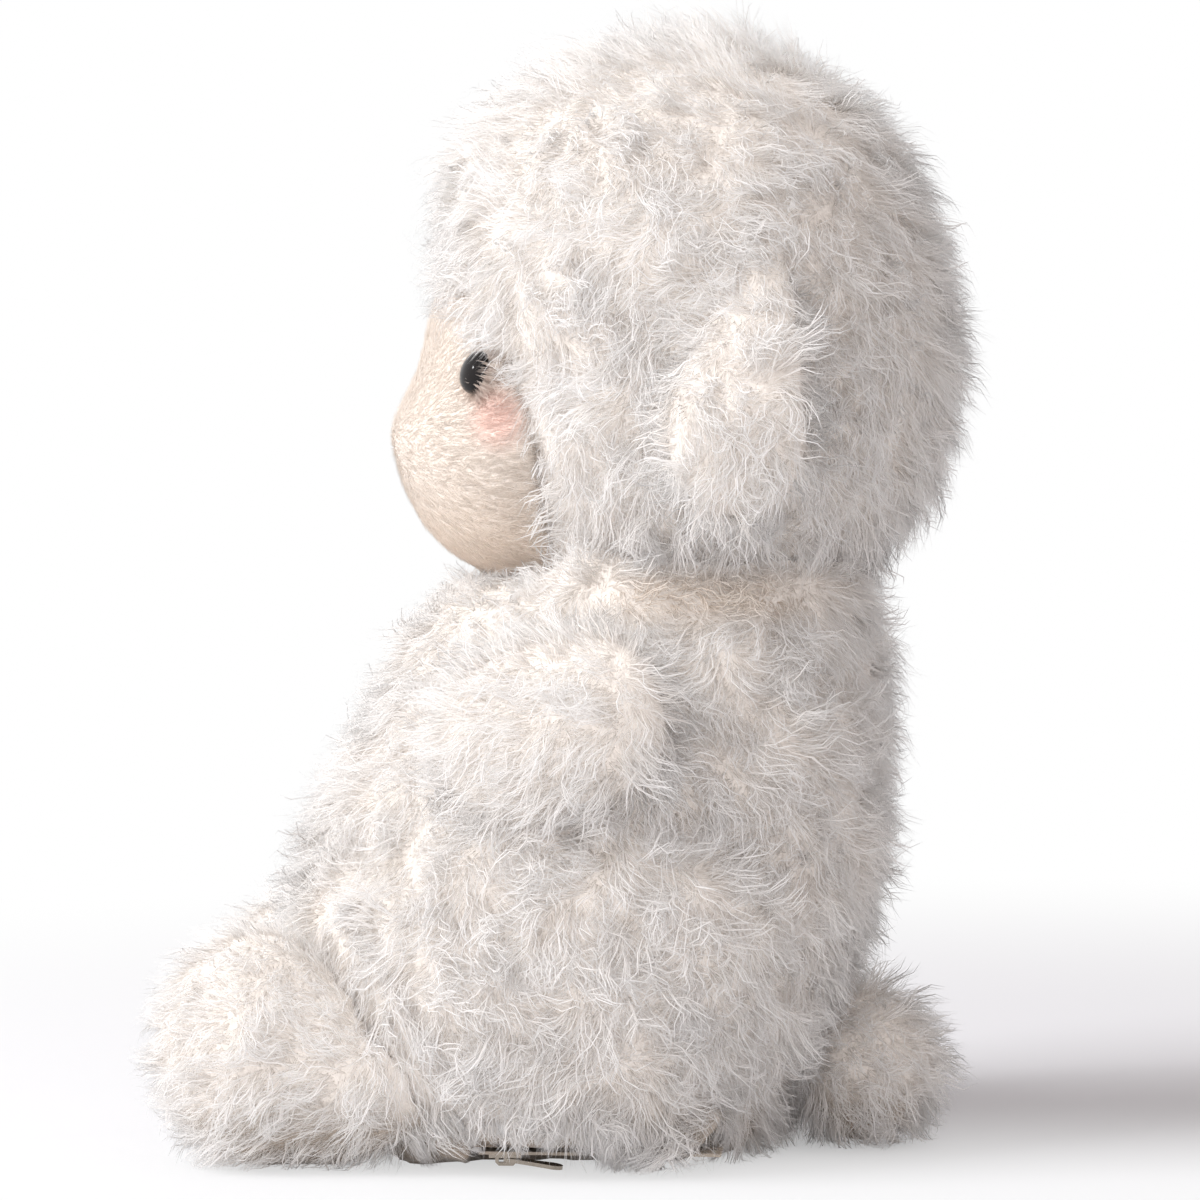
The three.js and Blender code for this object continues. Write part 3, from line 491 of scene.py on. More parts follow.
def grow_pile(skin, name, body, slot_name, material, **values):
    """One mesh of strands grown on a skin, riding on a body."""
    tree = bpy.data.node_groups.get("wool_pile") or make_pile_tree()
    holder = bpy.data.objects.new(name, skin.data.copy())
    bpy.context.scene.collection.objects.link(holder)
    maker = holder.modifiers.new("pile", "NODES")
    maker.node_group = tree
    idents = {item.name: item.identifier for item in tree.interface.items_tree if item.in_out == "INPUT"}
    for key, value in values.items():
        maker[idents[key.replace("_", " ")]] = value
    maker[idents["Material"]] = material
    applied(holder)
    for attribute in [a.name for a in holder.data.attributes if a.name in WORKING_NAMES]:
        holder.data.attributes.remove(holder.data.attributes[attribute])
    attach(holder, body)
    return holder


# Materials

def shader_group(name, inputs, outputs):
    """An empty shader group with these sockets, its wires, and what it is given."""
    tree = bpy.data.node_groups.new(name, "ShaderNodeTree")
    for label, kind, value in inputs:
        socket = tree.interface.new_socket(label, in_out="INPUT", socket_type="NodeSocket" + kind)
        if value is not None:
            socket.default_value = value
    for label, kind in outputs:
        tree.interface.new_socket(label, in_out="OUTPUT", socket_type="NodeSocket" + kind)
    return tree, Wires(tree), tree.nodes.new("NodeGroupInput").outputs, tree.nodes.new("NodeGroupOutput").inputs


def mix_colour(w, factor, first, second, blend="MIX"):
    """Two colours mixed by a factor."""
    return w.result("ShaderNodeMix", factor, first, second, data_type="RGBA", blend_type=blend)


def strand_group():
    """Colour along a strand, from a warm shaded root to a pale tip, a little different on each lock."""
    name = "strand_colour"
    if name in bpy.data.node_groups:
        return bpy.data.node_groups[name]
    tree, w, given, out = shader_group(
        name,
        (("Root", "Color", (0.7, 0.62, 0.54, 1)), ("Tip", "Color", (0.95, 0.94, 0.92, 1)), ("Variety", "Float", 0.2)),
        (("Color", "Color"),),
    )
    along = w.node("ShaderNodeAttribute", attribute_name="along").outputs["Fac"]
    tone = w.node("ShaderNodeAttribute", attribute_name="tone").outputs["Fac"]
    rise = w.math("POWER", along, 0.6)
    shift = w.math("MULTIPLY", w.math("SUBTRACT", tone, 0.5), given["Variety"])
    factor = w.result("ShaderNodeClamp", w.math("ADD", rise, shift), 0.0, 1.0)
    w.feed(out["Color"], mix_colour(w, factor, given["Root"], given["Tip"]))
    return tree


def mottle_group():
    """Soft blotches over a surface, with a height for bumps."""
    name = "mottle"
    if name in bpy.data.node_groups:
        return bpy.data.node_groups[name]
    tree, w, given, out = shader_group(
        name,
        (("Scale", "Float", 60.0), ("First", "Color", (1, 1, 1, 1)), ("Second", "Color", (0.8, 0.8, 0.8, 1))),
        (("Color", "Color"), ("Height", "Float")),
    )
    place = w.node("ShaderNodeTexCoord").outputs["Object"]
    cloud = w.result("ShaderNodeTexNoise", place, given["Scale"], 4.0, 0.6)
    w.feed(out["Color"], mix_colour(w, cloud, given["First"], given["Second"]))
    w.feed(out["Height"], cloud)
    return tree


def weave_group():
    """Crossed threads, with a height for bumps."""
    name = "weave"
    if name in bpy.data.node_groups:
        return bpy.data.node_groups[name]
    tree, w, given, out = shader_group(
        name,
        (("Pitch", "Float", 0.0005), ("Dark", "Color", (0.6, 0.6, 0.6, 1)), ("Light", "Color", (0.9, 0.9, 0.9, 1))),
        (("Color", "Color"), ("Height", "Float")),
    )
    place = w.node("ShaderNodeTexCoord").outputs["Object"]
    parts = w.node("ShaderNodeSeparateXYZ", w.vector("SCALE", place, w.math("DIVIDE", 2 * math.pi, given["Pitch"])))
    warp = w.math("SINE", w.math("ADD", parts.outputs[0], parts.outputs[2]))
    weft = w.math("SINE", parts.outputs[1])
    height = w.math("MULTIPLY_ADD", w.math("MULTIPLY", warp, weft), 0.5, 0.5)
    w.feed(out["Color"], mix_colour(w, height, given["Dark"], given["Light"]))
    w.feed(out["Height"], height)
    return tree


def material(name, build, **fixed):
    """A material with a Principled shader, whose constant sockets are set and whose others a function feeds."""
    made = bpy.data.materials.get(name)
    if made:
        return made
    made = bpy.data.materials.new(name)
    made.use_nodes = True
    w = Wires(made.node_tree)
    shader = made.node_tree.nodes["Principled BSDF"]
    for key, value in fixed.items():
        shader.inputs[key.replace("_", " ")].default_value = value
    build(w, shader.inputs)
    return made


def placed(w, tree, **values):
    """A group node with its own values."""
    node = w.node("ShaderNodeGroup", node_tree=tree)
    for key, value in values.items():
        w.feed(node.inputs[key], value)
    return node.outputs


def bumped(w, height, distance, strength=1.0):
    """A normal from a height."""
    bump = w.tree.nodes.new("ShaderNodeBump")
    bump.inputs["Strength"].default_value = strength
    bump.inputs["Distance"].default_value = distance
    w.feed(bump.inputs["Height"], height)
    return bump.outputs["Normal"]


def face_group():
    """The face's cream, its peach underside made lighter by painted bounce light, its blush, and painted shade round
    the eyes, by place on the head.
    """
    name = "face_tint"
    if name in bpy.data.node_groups:
        return bpy.data.node_groups[name]
    finish = bpy.context.scene.sheep_finish
    tree, w, given, out = shader_group(name, (("Depth", "Float", 1.0),), (("Color", "Color"),))
    place = w.node("ShaderNodeTexCoord").outputs["Object"]
    parts = w.node("ShaderNodeSeparateXYZ", place).outputs
    width = w.math("ABSOLUTE", parts[0])
    spot = w.result("ShaderNodeCombineXYZ", width, parts[1], parts[2])

    def patch(centre, radius, soft):
        far = w.vector("DISTANCE", spot, centre)
        return w.result("ShaderNodeMapRange", far, radius, radius * soft, 1.0, 0.0, interpolation_type="SMOOTHSTEP")

    cloud = w.result("ShaderNodeTexNoise", place, 70.0, 3.0, 0.6)
    # The peach under the cheeks and chin is the face's own tone. The chin colour is also lighter than the face, as
    # painted bounce light from the wool below.
    low = w.result("ShaderNodeMapRange", parts[2], 0.185, 0.157, 0.0, 1.0, interpolation_type="SMOOTHSTEP")
    peach_and_bounce_light = w.math("MULTIPLY", low, w.math("MULTIPLY_ADD", cloud, 0.6, 0.6))
    base = mix_colour(w, w.math("MULTIPLY", peach_and_bounce_light, 0.75), tuple(finish.face) + (1,), tuple(finish.chin) + (1,))
    blush = w.math("MULTIPLY", patch((0.047, -0.023, 0.1965), 0.002, 6.0), 0.75)
    base = mix_colour(w, blush, base, tuple(finish.blush) + (1,))
    # Brown round each eye: painted shade of the eye's socket.
    socket = w.math("MULTIPLY", patch(tuple(EYE_AT * MM), 0.0055, 1.9), 0.55)
    base = mix_colour(w, socket, base, (0.42, 0.25, 0.17, 1))
    w.feed(out["Color"], base)
    return tree


def soft_normal(w, share):
    """A strand's own normal, drawn towards that of the skin below it."""
    skin = w.node("ShaderNodeAttribute", attribute_name="root_up").outputs["Vector"]
    skin = w.result(
        "ShaderNodeVectorTransform", skin, vector_type="NORMAL", convert_from="OBJECT", convert_to="WORLD"
    )
    own = w.node("ShaderNodeNewGeometry").outputs["Normal"]
    return w.vector("NORMALIZE", w.result("ShaderNodeMix", share, own, skin, data_type="VECTOR"))


def let_light_through(made, share, glow):
    """Lets a share of the light pass, as thin fibres do, and glows on the side away from the light."""
    w = Wires(made.node_tree)
    shader = made.node_tree.nodes["Principled BSDF"]
    path = w.node("ShaderNodeLightPath").outputs
    light = w.math("MAXIMUM", path["Is Shadow Ray"], path["Is Diffuse Ray"])
    clear = w.node("ShaderNodeBsdfTransparent")
    back = w.node("ShaderNodeBsdfTranslucent", shader.inputs["Base Color"].links[0].from_socket)
    fibre = w.node("ShaderNodeMixShader", glow)
    w.feed(fibre.inputs[1], shader.outputs[0])
    w.feed(fibre.inputs[2], back.outputs[0])
    both = w.node("ShaderNodeMixShader", w.math("MULTIPLY", light, share))
    w.feed(both.inputs[1], fibre.outputs[0])
    w.feed(both.inputs[2], clear.outputs[0])
    w.feed(made.node_tree.nodes["Material Output"].inputs["Surface"], both.outputs[0])


def wool_material():
    """Fine glossy white strands, with painted shade in the neck crease."""
    finish = bpy.context.scene.sheep_finish
    root, tip = tuple(finish.wool_root) + (1,), tuple(finish.wool_tip) + (1,)

    def build(w, sockets):
        parts = w.node("ShaderNodeSeparateXYZ", w.node("ShaderNodeTexCoord").outputs["Object"]).outputs
        # Painted shade: the strands turn warm beige in the neck crease, about 150 mm up, near y = 32 mm.
        off = w.math("ABSOLUTE", w.math("SUBTRACT", parts[2], 150 * MM))
        painted_crease_shade = w.result("ShaderNodeMapRange", off, 0.002, 0.009, 0.55, 0.0, interpolation_type="SMOOTHSTEP")
        across = w.math("ABSOLUTE", w.math("SUBTRACT", parts[1], 32 * MM))
        behind = w.result("ShaderNodeMapRange", across, 0.014, 0.032, 1.0, 0.0, interpolation_type="SMOOTHSTEP")
        colour = placed(w, strand_group(), Root=root, Tip=tip)["Color"]
        painted_shade_beige = mix_colour(w, 1.0, colour, (0.86, 0.73, 0.6, 1), "MULTIPLY")
        w.feed(sockets["Base Color"], mix_colour(w, w.math("MULTIPLY", painted_crease_shade, behind), colour, painted_shade_beige))
        w.feed(sockets["Normal"], soft_normal(w, 0.4))

    if "wool_strands" in bpy.data.materials:
        return bpy.data.materials["wool_strands"]
    made = material(
        "wool_strands", build, Roughness=finish.wool_roughness, Specular_IOR_Level=0.5, Sheen_Weight=0.4,
        Sheen_Roughness=0.4,
    )
    let_light_through(made, finish.wool_glow, 0.34)
    return made


def backing_material():
    finish = bpy.context.scene.sheep_finish

    def build(w, sockets):
        root = Vector(finish.wool_root)
        spots = placed(w, mottle_group(), Scale=120.0, First=tuple(root * 1.02) + (1,), Second=tuple(root * 0.84) + (1,))
        parts = w.node("ShaderNodeSeparateXYZ", w.node("ShaderNodeTexCoord").outputs["Object"]).outputs
        # Painted shade: the backing turns dark warm brown towards the floor, below 8 to 22 mm, where the hem's
        # underside lies in shade.
        low = w.result("ShaderNodeMapRange", parts[2], 0.008, 0.022, 0.85, 0.0, interpolation_type="SMOOTHSTEP")
        w.feed(sockets["Base Color"], mix_colour(w, low, spots["Color"], (0.3, 0.23, 0.17, 1)))
        w.feed(sockets["Normal"], bumped(w, spots["Height"], 0.003))

    return material("wool_backing", build, Roughness=0.9, Sheen_Weight=0.4)


def face_material(strands):
    def build(w, sockets):
        colour = placed(w, face_group())["Color"]
        if strands:
            along = w.node("ShaderNodeAttribute", attribute_name="along").outputs["Fac"]
            tone = w.node("ShaderNodeAttribute", attribute_name="tone").outputs["Fac"]
            lighter = mix_colour(w, 0.42, colour, (1.0, 0.97, 0.93, 1))
            factor = w.math("MULTIPLY", along, w.math("MULTIPLY_ADD", tone, 0.6, 0.4))
            colour = mix_colour(w, factor, colour, lighter)
            w.feed(sockets["Normal"], soft_normal(w, 0.2))
        else:
            spots = placed(w, mottle_group(), Scale=700.0)
            w.feed(sockets["Normal"], bumped(w, spots["Height"], 0.0008))
        w.feed(sockets["Base Color"], colour)

    name = "face_strands" if strands else "face_backing"
    if name in bpy.data.materials:
        return bpy.data.materials[name]
    made = material(name, build, Roughness=0.7, Sheen_Weight=0.3, Specular_IOR_Level=0.3)
    if strands:
        let_light_through(made, 0.5, 0.42)
    return made


def lining_material():
    def build(w, sockets):
        cloth = placed(w, weave_group(), Pitch=0.0009, Dark=(0.68, 0.65, 0.6, 1), Light=(0.9, 0.88, 0.84, 1))
        w.feed(sockets["Base Color"], cloth["Color"])
        w.feed(sockets["Normal"], bumped(w, cloth["Height"], 0.0002))

    return material("lining_weave", build, Roughness=0.85)


def tape_material():
    """Woven tape darkened as painted shade, with nickel where its teeth are."""
    finish = bpy.context.scene.sheep_finish

    def build(w, sockets):
        # The weave is a dark warm taupe, far darker than the part's cream tape: painted shade of the hem's underside.
        cloth = placed(w, weave_group(), Pitch=0.0006, Dark=(0.4, 0.34, 0.28, 1), Light=(0.58, 0.51, 0.43, 1))
        parts = w.node("ShaderNodeSeparateXYZ", w.node("ShaderNodeTexCoord").outputs["Object"]).outputs
        off = w.math("ABSOLUTE", w.math("SUBTRACT", parts[0], 50 * MM))
        high = w.math("ABSOLUTE", w.math("SUBTRACT", parts[2], 5.6 * MM))
        proud = w.math("GREATER_THAN", high, 0.45 * MM)
        inner = w.math("LESS_THAN", off, 1.28 * MM)
        teeth = w.math("MAXIMUM", proud, inner)
        metal = tuple(finish.nickel) + (1,)
        w.feed(sockets["Base Color"], mix_colour(w, teeth, cloth["Color"], metal))
        w.feed(sockets["Metallic"], teeth)
        w.feed(sockets["Roughness"], w.result("ShaderNodeMapRange", teeth, 0.0, 1.0, 0.9, 0.32))
        w.feed(sockets["Normal"], bumped(w, cloth["Height"], 0.0001, 0.6))

    return material("zip_tape_weave", build)


def nickel_material():
    finish = bpy.context.scene.sheep_finish

    def build(w, sockets):
        nickel = Vector(finish.nickel)
        spots = placed(w, mottle_group(), Scale=900.0, First=tuple(nickel * 1.1) + (1,), Second=tuple(nickel * 0.75) + (1,))
        w.feed(sockets["Base Color"], spots["Color"])
        w.feed(sockets["Roughness"], w.result("ShaderNodeMapRange", spots["Height"], 0.3, 0.7, 0.16, 0.34))
        w.feed(sockets["Normal"], bumped(w, spots["Height"], 0.00005))

    return material("warm_nickel", build, Metallic=1.0)


def eye_material():
    def build(w, sockets):
        spots = placed(w, mottle_group(), Scale=400.0, First=(0.012, 0.009, 0.009, 1), Second=(0.004, 0.003, 0.003, 1))
        w.feed(sockets["Base Color"], spots["Color"])
        w.feed(sockets["Roughness"], w.result("ShaderNodeMapRange", spots["Height"], 0.2, 0.8, 0.05, 0.12))

    return material("eye_gloss", build, Specular_IOR_Level=0.3)


def washer_material():
    def build(w, sockets):
        spots = placed(w, mottle_group(), Scale=500.0, First=(0.86, 0.85, 0.83, 1), Second=(0.74, 0.73, 0.7, 1))
        w.feed(sockets["Base Color"], spots["Color"])
        w.feed(sockets["Normal"], bumped(w, spots["Height"], 0.0001))

    return material("washer_plastic", build, Roughness=0.5)


def dress(piece, finish):
    """Gives a piece one material."""
    piece.data.materials.clear()
    piece.data.materials.append(finish)


# Settings

class SHEEP_PG_pile(bpy.types.PropertyGroup):
    """Sizes of the long wool pile"""

    inset: FloatProperty(name="Pile height", description="Height of the pile above its backing, in mm", default=6.0)
    tuft_density: FloatProperty(name="Tufts", description="Strands of the tufts on a square mm", default=0.155)
    wave_density: FloatProperty(name="Waves", description="Finer wavy strands on a square mm", default=0.3)
    fuzz_density: FloatProperty(name="Fuzz", description="Short fine strands on a square mm", default=0.79)
    lock_size: FloatProperty(name="Lock size", description="Width of a lock of strands, in mm", default=4.8)
    length: FloatProperty(
        name="Wool length", description="Length of the longest strands", default=0.0145, unit="LENGTH"
    )
    thickness: FloatProperty(
        name="Strand radius", description="Radius of a strand at its root", default=0.00016, unit="LENGTH"
    )
    seed: IntProperty(name="Seed", description="Start of the random draws", default=11)


class SHEEP_PG_finish(bpy.types.PropertyGroup):
    """Colours of the sheep"""

    wool_tip: FloatVectorProperty(
        name="Wool tip", description="Colour of the wool's tips", subtype="COLOR", default=(0.98, 0.968, 0.964)
    )
    wool_root: FloatVectorProperty(
        name="Wool root", description="Colour of the wool near its backing", subtype="COLOR", default=(0.92, 0.85, 0.785)
    )
    wool_roughness: FloatProperty(
        name="Wool roughness", description="Roughness of a strand", default=0.38, subtype="FACTOR"
    )
    wool_glow: FloatProperty(
        name="Wool glow", description="Share of the light that goes through the wool", default=0.72, subtype="FACTOR"
    )
    face: FloatVectorProperty(
        name="Face", description="Colour of the face's pile", subtype="COLOR", default=(0.84, 0.755, 0.68)
    )
    # Peach tone, made lighter than the face as painted bounce light on the chin.
    chin: FloatVectorProperty(
        name="Chin", description="Colour under the cheeks and chin", subtype="COLOR", default=(1.0, 0.87, 0.75)
    )
    blush: FloatVectorProperty(
        name="Blush", description="Colour of the cheeks' blush", subtype="COLOR", default=(0.92, 0.63, 0.55)
    )
    nickel: FloatVectorProperty(
        name="Zip metal", description="Colour of the zip's nickel", subtype="COLOR", default=(0.4, 0.35, 0.3)
    )


class SHEEP_PG_stage(bpy.types.PropertyGroup):
    """Lamps and camera"""

    key: FloatProperty(name="Key lamp", description="Power of the high lamp", default=33.5, unit="POWER")
    front: FloatProperty(name="Front lamp", description="Power of the lamp before the face", default=7.0, unit="POWER")
    fill: FloatProperty(name="Fill lamp", description="Power of the low lamp near the camera", default=2.0, unit="POWER")
    spark: FloatProperty(name="Spark lamp", description="Power of the lamp seen in the eye", default=3.5, unit="POWER")
    surround: FloatProperty(name="Surround", description="Strength of the light from all round", default=0.7)
    azimuth: FloatProperty(
        name="Camera turn", description="Camera's turn from the sheep's front", default=math.radians(94), subtype="ANGLE"
    )


# Pieces

def finish_skin(skin, name, body, nodes, finish):
    """Names a stuffed skin, smooths and dresses it, hides the CAD nodes it stands for and rides it on a body."""
    skin.name = name
    skin.data.name = name
    for polygon in skin.data.polygons:
        polygon.use_smooth = True
    dress(skin, finish)
    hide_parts(*nodes)
    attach(skin, body)
    return skin


def comb_skin(skin, direction, cover=None, reach=None):
    """Stores which way the pile lies, where it grows and how long it is."""
    mesh = skin.data
    count = len(mesh.vertices)
    store(mesh, "comb", unit(direction), "FLOAT_VECTOR")
    store(mesh, "cover", np.ones(count) if cover is None else cover)
    store(mesh, "reach", np.ones(count) if reach is None else reach)


def surface_area(mesh, cover):
    """Area in square millimetres, less what has no pile."""
    weights = np.asarray(cover)
    return sum(p.area * weights[list(p.vertices)].mean() for p in mesh.polygons) / MM**2


def wool_layers(skin, stem, body, scale=1.0):
    """The locks of strands on a skin, in three layers, in pieces of at most about 185,000 triangles."""
    pile = bpy.context.scene.sheep_pile
    mesh = skin.data
    cover = np.empty(len(mesh.vertices), np.float32)
    mesh.attributes["cover"].data.foreach_get("value", cover)
    area = surface_area(mesh, cover)
    per_lock = 1 / pile.lock_size**2
    thinned = 1.0
    length = pile.length * scale
    layers = {
        "tuft": {
            "density": pile.tuft_density, "Segments": 4, "Length": length, "Width": pile.thickness * 1.9,
            "Jitter": 0.9, "Gather": 0.84, "Flatness": 0.3,
        },
        "wave": {
            "density": pile.wave_density, "Segments": 2, "Length": length * 0.93, "Width": pile.thickness * 0.8,
            "Jitter": 1.3, "Gather": 0.74,
        },
        "fuzz": {
            "density": pile.fuzz_density, "Segments": 1, "Length": length * 0.76, "Width": pile.thickness * 0.8,
            "Jitter": 2.2, "Gather": 0.5,
        },
    }
    most = 185000
    for index, (layer, values) in enumerate(layers.items()):
        density = values.pop("density") * thinned
        triangles = 6 * values["Segments"] - 2
        count = max(1, math.ceil(area * density * triangles / most))
        for part in range(count):
            grow_pile(
                skin, f"{stem}_{layer}_wool_{part + 1}", body, "wool_cloth", wool_material(),
                Density=density / MM**2 / count, Lock_Density=per_lock / MM**2, Unevenness=0.22, Taper=0.5,
                Lift=0.74, Droop=0.26, Spread=1.15, Curl=0.0026 * scale, Turns=1.0,
                Seed=pile.seed + 100 * index + 13 * part, Lock_Seed=pile.seed, **values,
            )


def ruffle(skin, height, size, seed):
    """Raises and sinks a skin in soft lumps, as loosely packed filling does."""
    at, normals = points_of(skin.data), normals_of(skin.data)
    swing = np.array([noise.noise(Vector(point) / size + Vector((seed, seed, seed))) for point in at])
    fine = np.array([noise.noise(Vector(point) / size * 2.1 + Vector((seed, 0, seed))) for point in at])
    move_points(skin.data, at + normals * ((swing + 0.5 * fine) * height)[:, None])


def clear_of(at, neighbour, depth):
    """1 where a point isn't deep inside a neighbouring form, which would hide its pile."""
    return np.where(depth_inside(tree_of(*swell(neighbour, 0, 48, 4)), at) > depth, 0.0, 1.0)


def settle(at, low, reach):
    """Brings the flat underside of a drawn-in form down to the floor."""
    rise = np.clip((at[:, 2] - low) / reach, 0, 1)
    return np.where(at[:, 2] < low + reach, 0.6 + rise * (low + reach - 0.6), at[:, 2])


class SHEEP_OT_body(bpy.types.Operator):
    """Make the body's stuffed skin and its wool"""

    bl_idname = "sheep.body"
    bl_label = "Body"

    def execute(self, context):
        inset = context.scene.sheep_pile.inset
        skin = solid_from("body_wool", *swell("body", inset, 96, 6))
        remeshed(skin, 3.0, 2)
        ruffle(skin, 2.4, 17, 2.7)
        push_out(skin.data, tree_of(*swell("head", inset - 1.5, 64, 5)), 0.5)
        at = points_of(skin.data)
        pressed = np.clip((-2 - at[:, 1]) / 12, 0, 1) * np.clip(at[:, 2] - 146, 0, None)
        at[:, 2] -= pressed * 0.62
        at[:, 2] = settle(at, inset - 0.5, 14)
        low, high = (np.array(corner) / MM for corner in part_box("zip_tape_outer"))
        inner = np.array(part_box("zip_tape_inner")[0]) / MM
        slider_low, slider_high = (np.array(corner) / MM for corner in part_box("zip_slider"))
        middle = (slider_low[0] + slider_high[0]) / 2
        edge = (at[:, 0] > 46) & (at[:, 1] > low[1] - 3) & (at[:, 1] < high[1] + 4) & (at[:, 2] < 18)
        at[:, 0] = np.where(edge, np.maximum(at[:, 0], 62 - 0.5 * at[:, 2]), at[:, 0])
        beside = (at[:, 0] > inner[0] - 2.5) & (at[:, 1] > low[1] - 3) & (at[:, 1] < high[1] + 11)
        at[:, 2] = np.where(beside, np.maximum(at[:, 2], high[2] + 1.2), at[:, 2])
        over = (np.abs(at[:, 0] - middle) < 7.5) & (at[:, 1] > low[1] - 3) & (at[:, 1] < high[1] + 3)
        at[:, 2] = np.where(over, np.maximum(at[:, 2], slider_high[2] + 2.2), at[:, 2])
        move_points(skin.data, at)
        under_left = (at[:, 0] > 30) & (np.abs(at[:, 1]) < 66)
        open_at = np.clip(1.8 - np.abs(at[:, 1] - slider_low[1] - 5) / 16, 0, 1)
        raised = np.clip(2.2 - np.abs(at[:, 1] + 36) / 16, 0, 0.75)
        lowest = -2 + 3 * drift(at, 6, 8.8)[:, 0] + 9 * np.maximum(open_at, raised)
        hem = np.where(under_left, np.clip((at[:, 2] - lowest) / 12, 0.25, 1.0), 1)
        bare = np.where(under_left, 8.3 + 3 * open_at, 3)
        slot = (at[:, 0] > inner[0] - 5) & (at[:, 0] < 57) & (at[:, 1] > low[1] - 6) & (at[:, 1] < high[1])
        cover = clear_of(at, "head", inset - 1) * np.where((at[:, 2] < bare) | (slot & (at[:, 2] < 12.5)), 0, 1)
        neck = np.clip((at[:, 2] - 148) / 22, 0, 1) * np.clip((at[:, 1] + 12) / 14, 0, 1)
        hem = np.where((at[:, 2] > 142) & (at[:, 1] < 0), 0.7, hem)
        down = np.array((0, 0.3, -1.0)) * (1 - 2.2 * neck)[:, None]
        outward = unit(at * np.array((1, 1, 0))) * np.clip(1 - at[:, 2] / 30, 0, 1)[:, None] * 0.35
        high_up = np.clip((at[:, 2] - 2) / 24, 0.15, 1)[:, None]
        comb_skin(skin, down + outward + drift(at, 15, 3.1) * 2.3 * high_up, cover, hem)
        wool_layers(skin, "body", "torso")
        band = ((at[:, 0] > 57) | (at[:, 1] > high[1])) & (at[:, 0] > 38) & (at[:, 1] > -62) & (at[:, 1] < 58) & (at[:, 2] > bare) & (at[:, 2] < bare + 7)
        drop = (1.0 - 0.6 * open_at) * (0.9 + 0.3 * drift(at, 6, 1.2)[:, 0])
        comb_skin(skin, np.array((0.45, 0, -1.0)) + drift(at, 8, 6.6) * 0.7, band, drop)
        grow_pile(
            skin, "body_hem_wool", "torso", "wool_cloth", wool_material(), Density=3.0e6, Lock_Density=6e4,
            Length=0.0135, Unevenness=0.3, Width=0.0002, Flatness=0.4, Lift=0.42, Droop=0.5, Spread=0.5, Gather=0.86,
            Curl=0.0016, Turns=0.6, Segments=3, Seed=71, Lock_Seed=9,
        )
        finish_skin(skin, "body_wool", "torso", ["body_cover"], backing_material())
        return {"FINISHED"}


class SHEEP_OT_head(bpy.types.Operator):
    """Make the woolly hood"""

    bl_idname = "sheep.head"
    bl_label = "Hood"

    def execute(self, context):
        inset = context.scene.sheep_pile.inset
        skin = solid_from("head_wool", *swell("head", inset, 96, 5))
        cut(skin, front_of_rim())
        remeshed(skin, 3.0)
        ruffle(skin, 1.8, 17, 6.1)
        at = points_of(skin.data)
        inside = depth_inside(tree_of(*swell("head", inset, 64, 5)), at)
        cover = np.where(inside > 4.2, 0.0, 1.0) * clear_of(at, "body", inset - 1)
        crown = np.array((0, 60, 296))
        away = unit(at - crown) * np.array((1, 1, 1.4))
        side = np.clip(np.abs(at[:, 0]) / 60, 0, 1)[:, None]
        wild = drift(at, 17, 7.7) * (0.7 + 1.4 * side)
        rear = np.clip((at[:, 1] - 50) / 40, 0, 1)[:, None] * np.array((0, 0.5, -0.7))
        low = np.clip((174 - at[:, 2]) / 14, 0, 1)
        under = low[:, None] * np.array((0, 0, -2.6))
        rim = rim_line()
        near = np.min(np.linalg.norm(at[:, None, 1:] - rim[None, :, :], axis=2), axis=1)
        brow = np.clip((at[:, 2] - 212) / 14, 0, 1)
        beside = np.clip(1 - near / 14, 0, 1) * np.where(at[:, 1] < 8, 1, 0)
        fringe = beside[:, None] * (np.array((0, -0.9, 0.1)) + brow[:, None] * np.array((0, -1.8, -0.4)))
        reach = 1 + 0.2 * low - (1 - brow) * np.clip(1.1 - near / 12, 0, 0.38)
        comb_skin(skin, away + wild + rear + under + fringe, cover, reach)
        wool_layers(skin, "head", "head")
        finish_skin(skin, "head_wool", "head", ["head_cover"], backing_material())
        return {"FINISHED"}


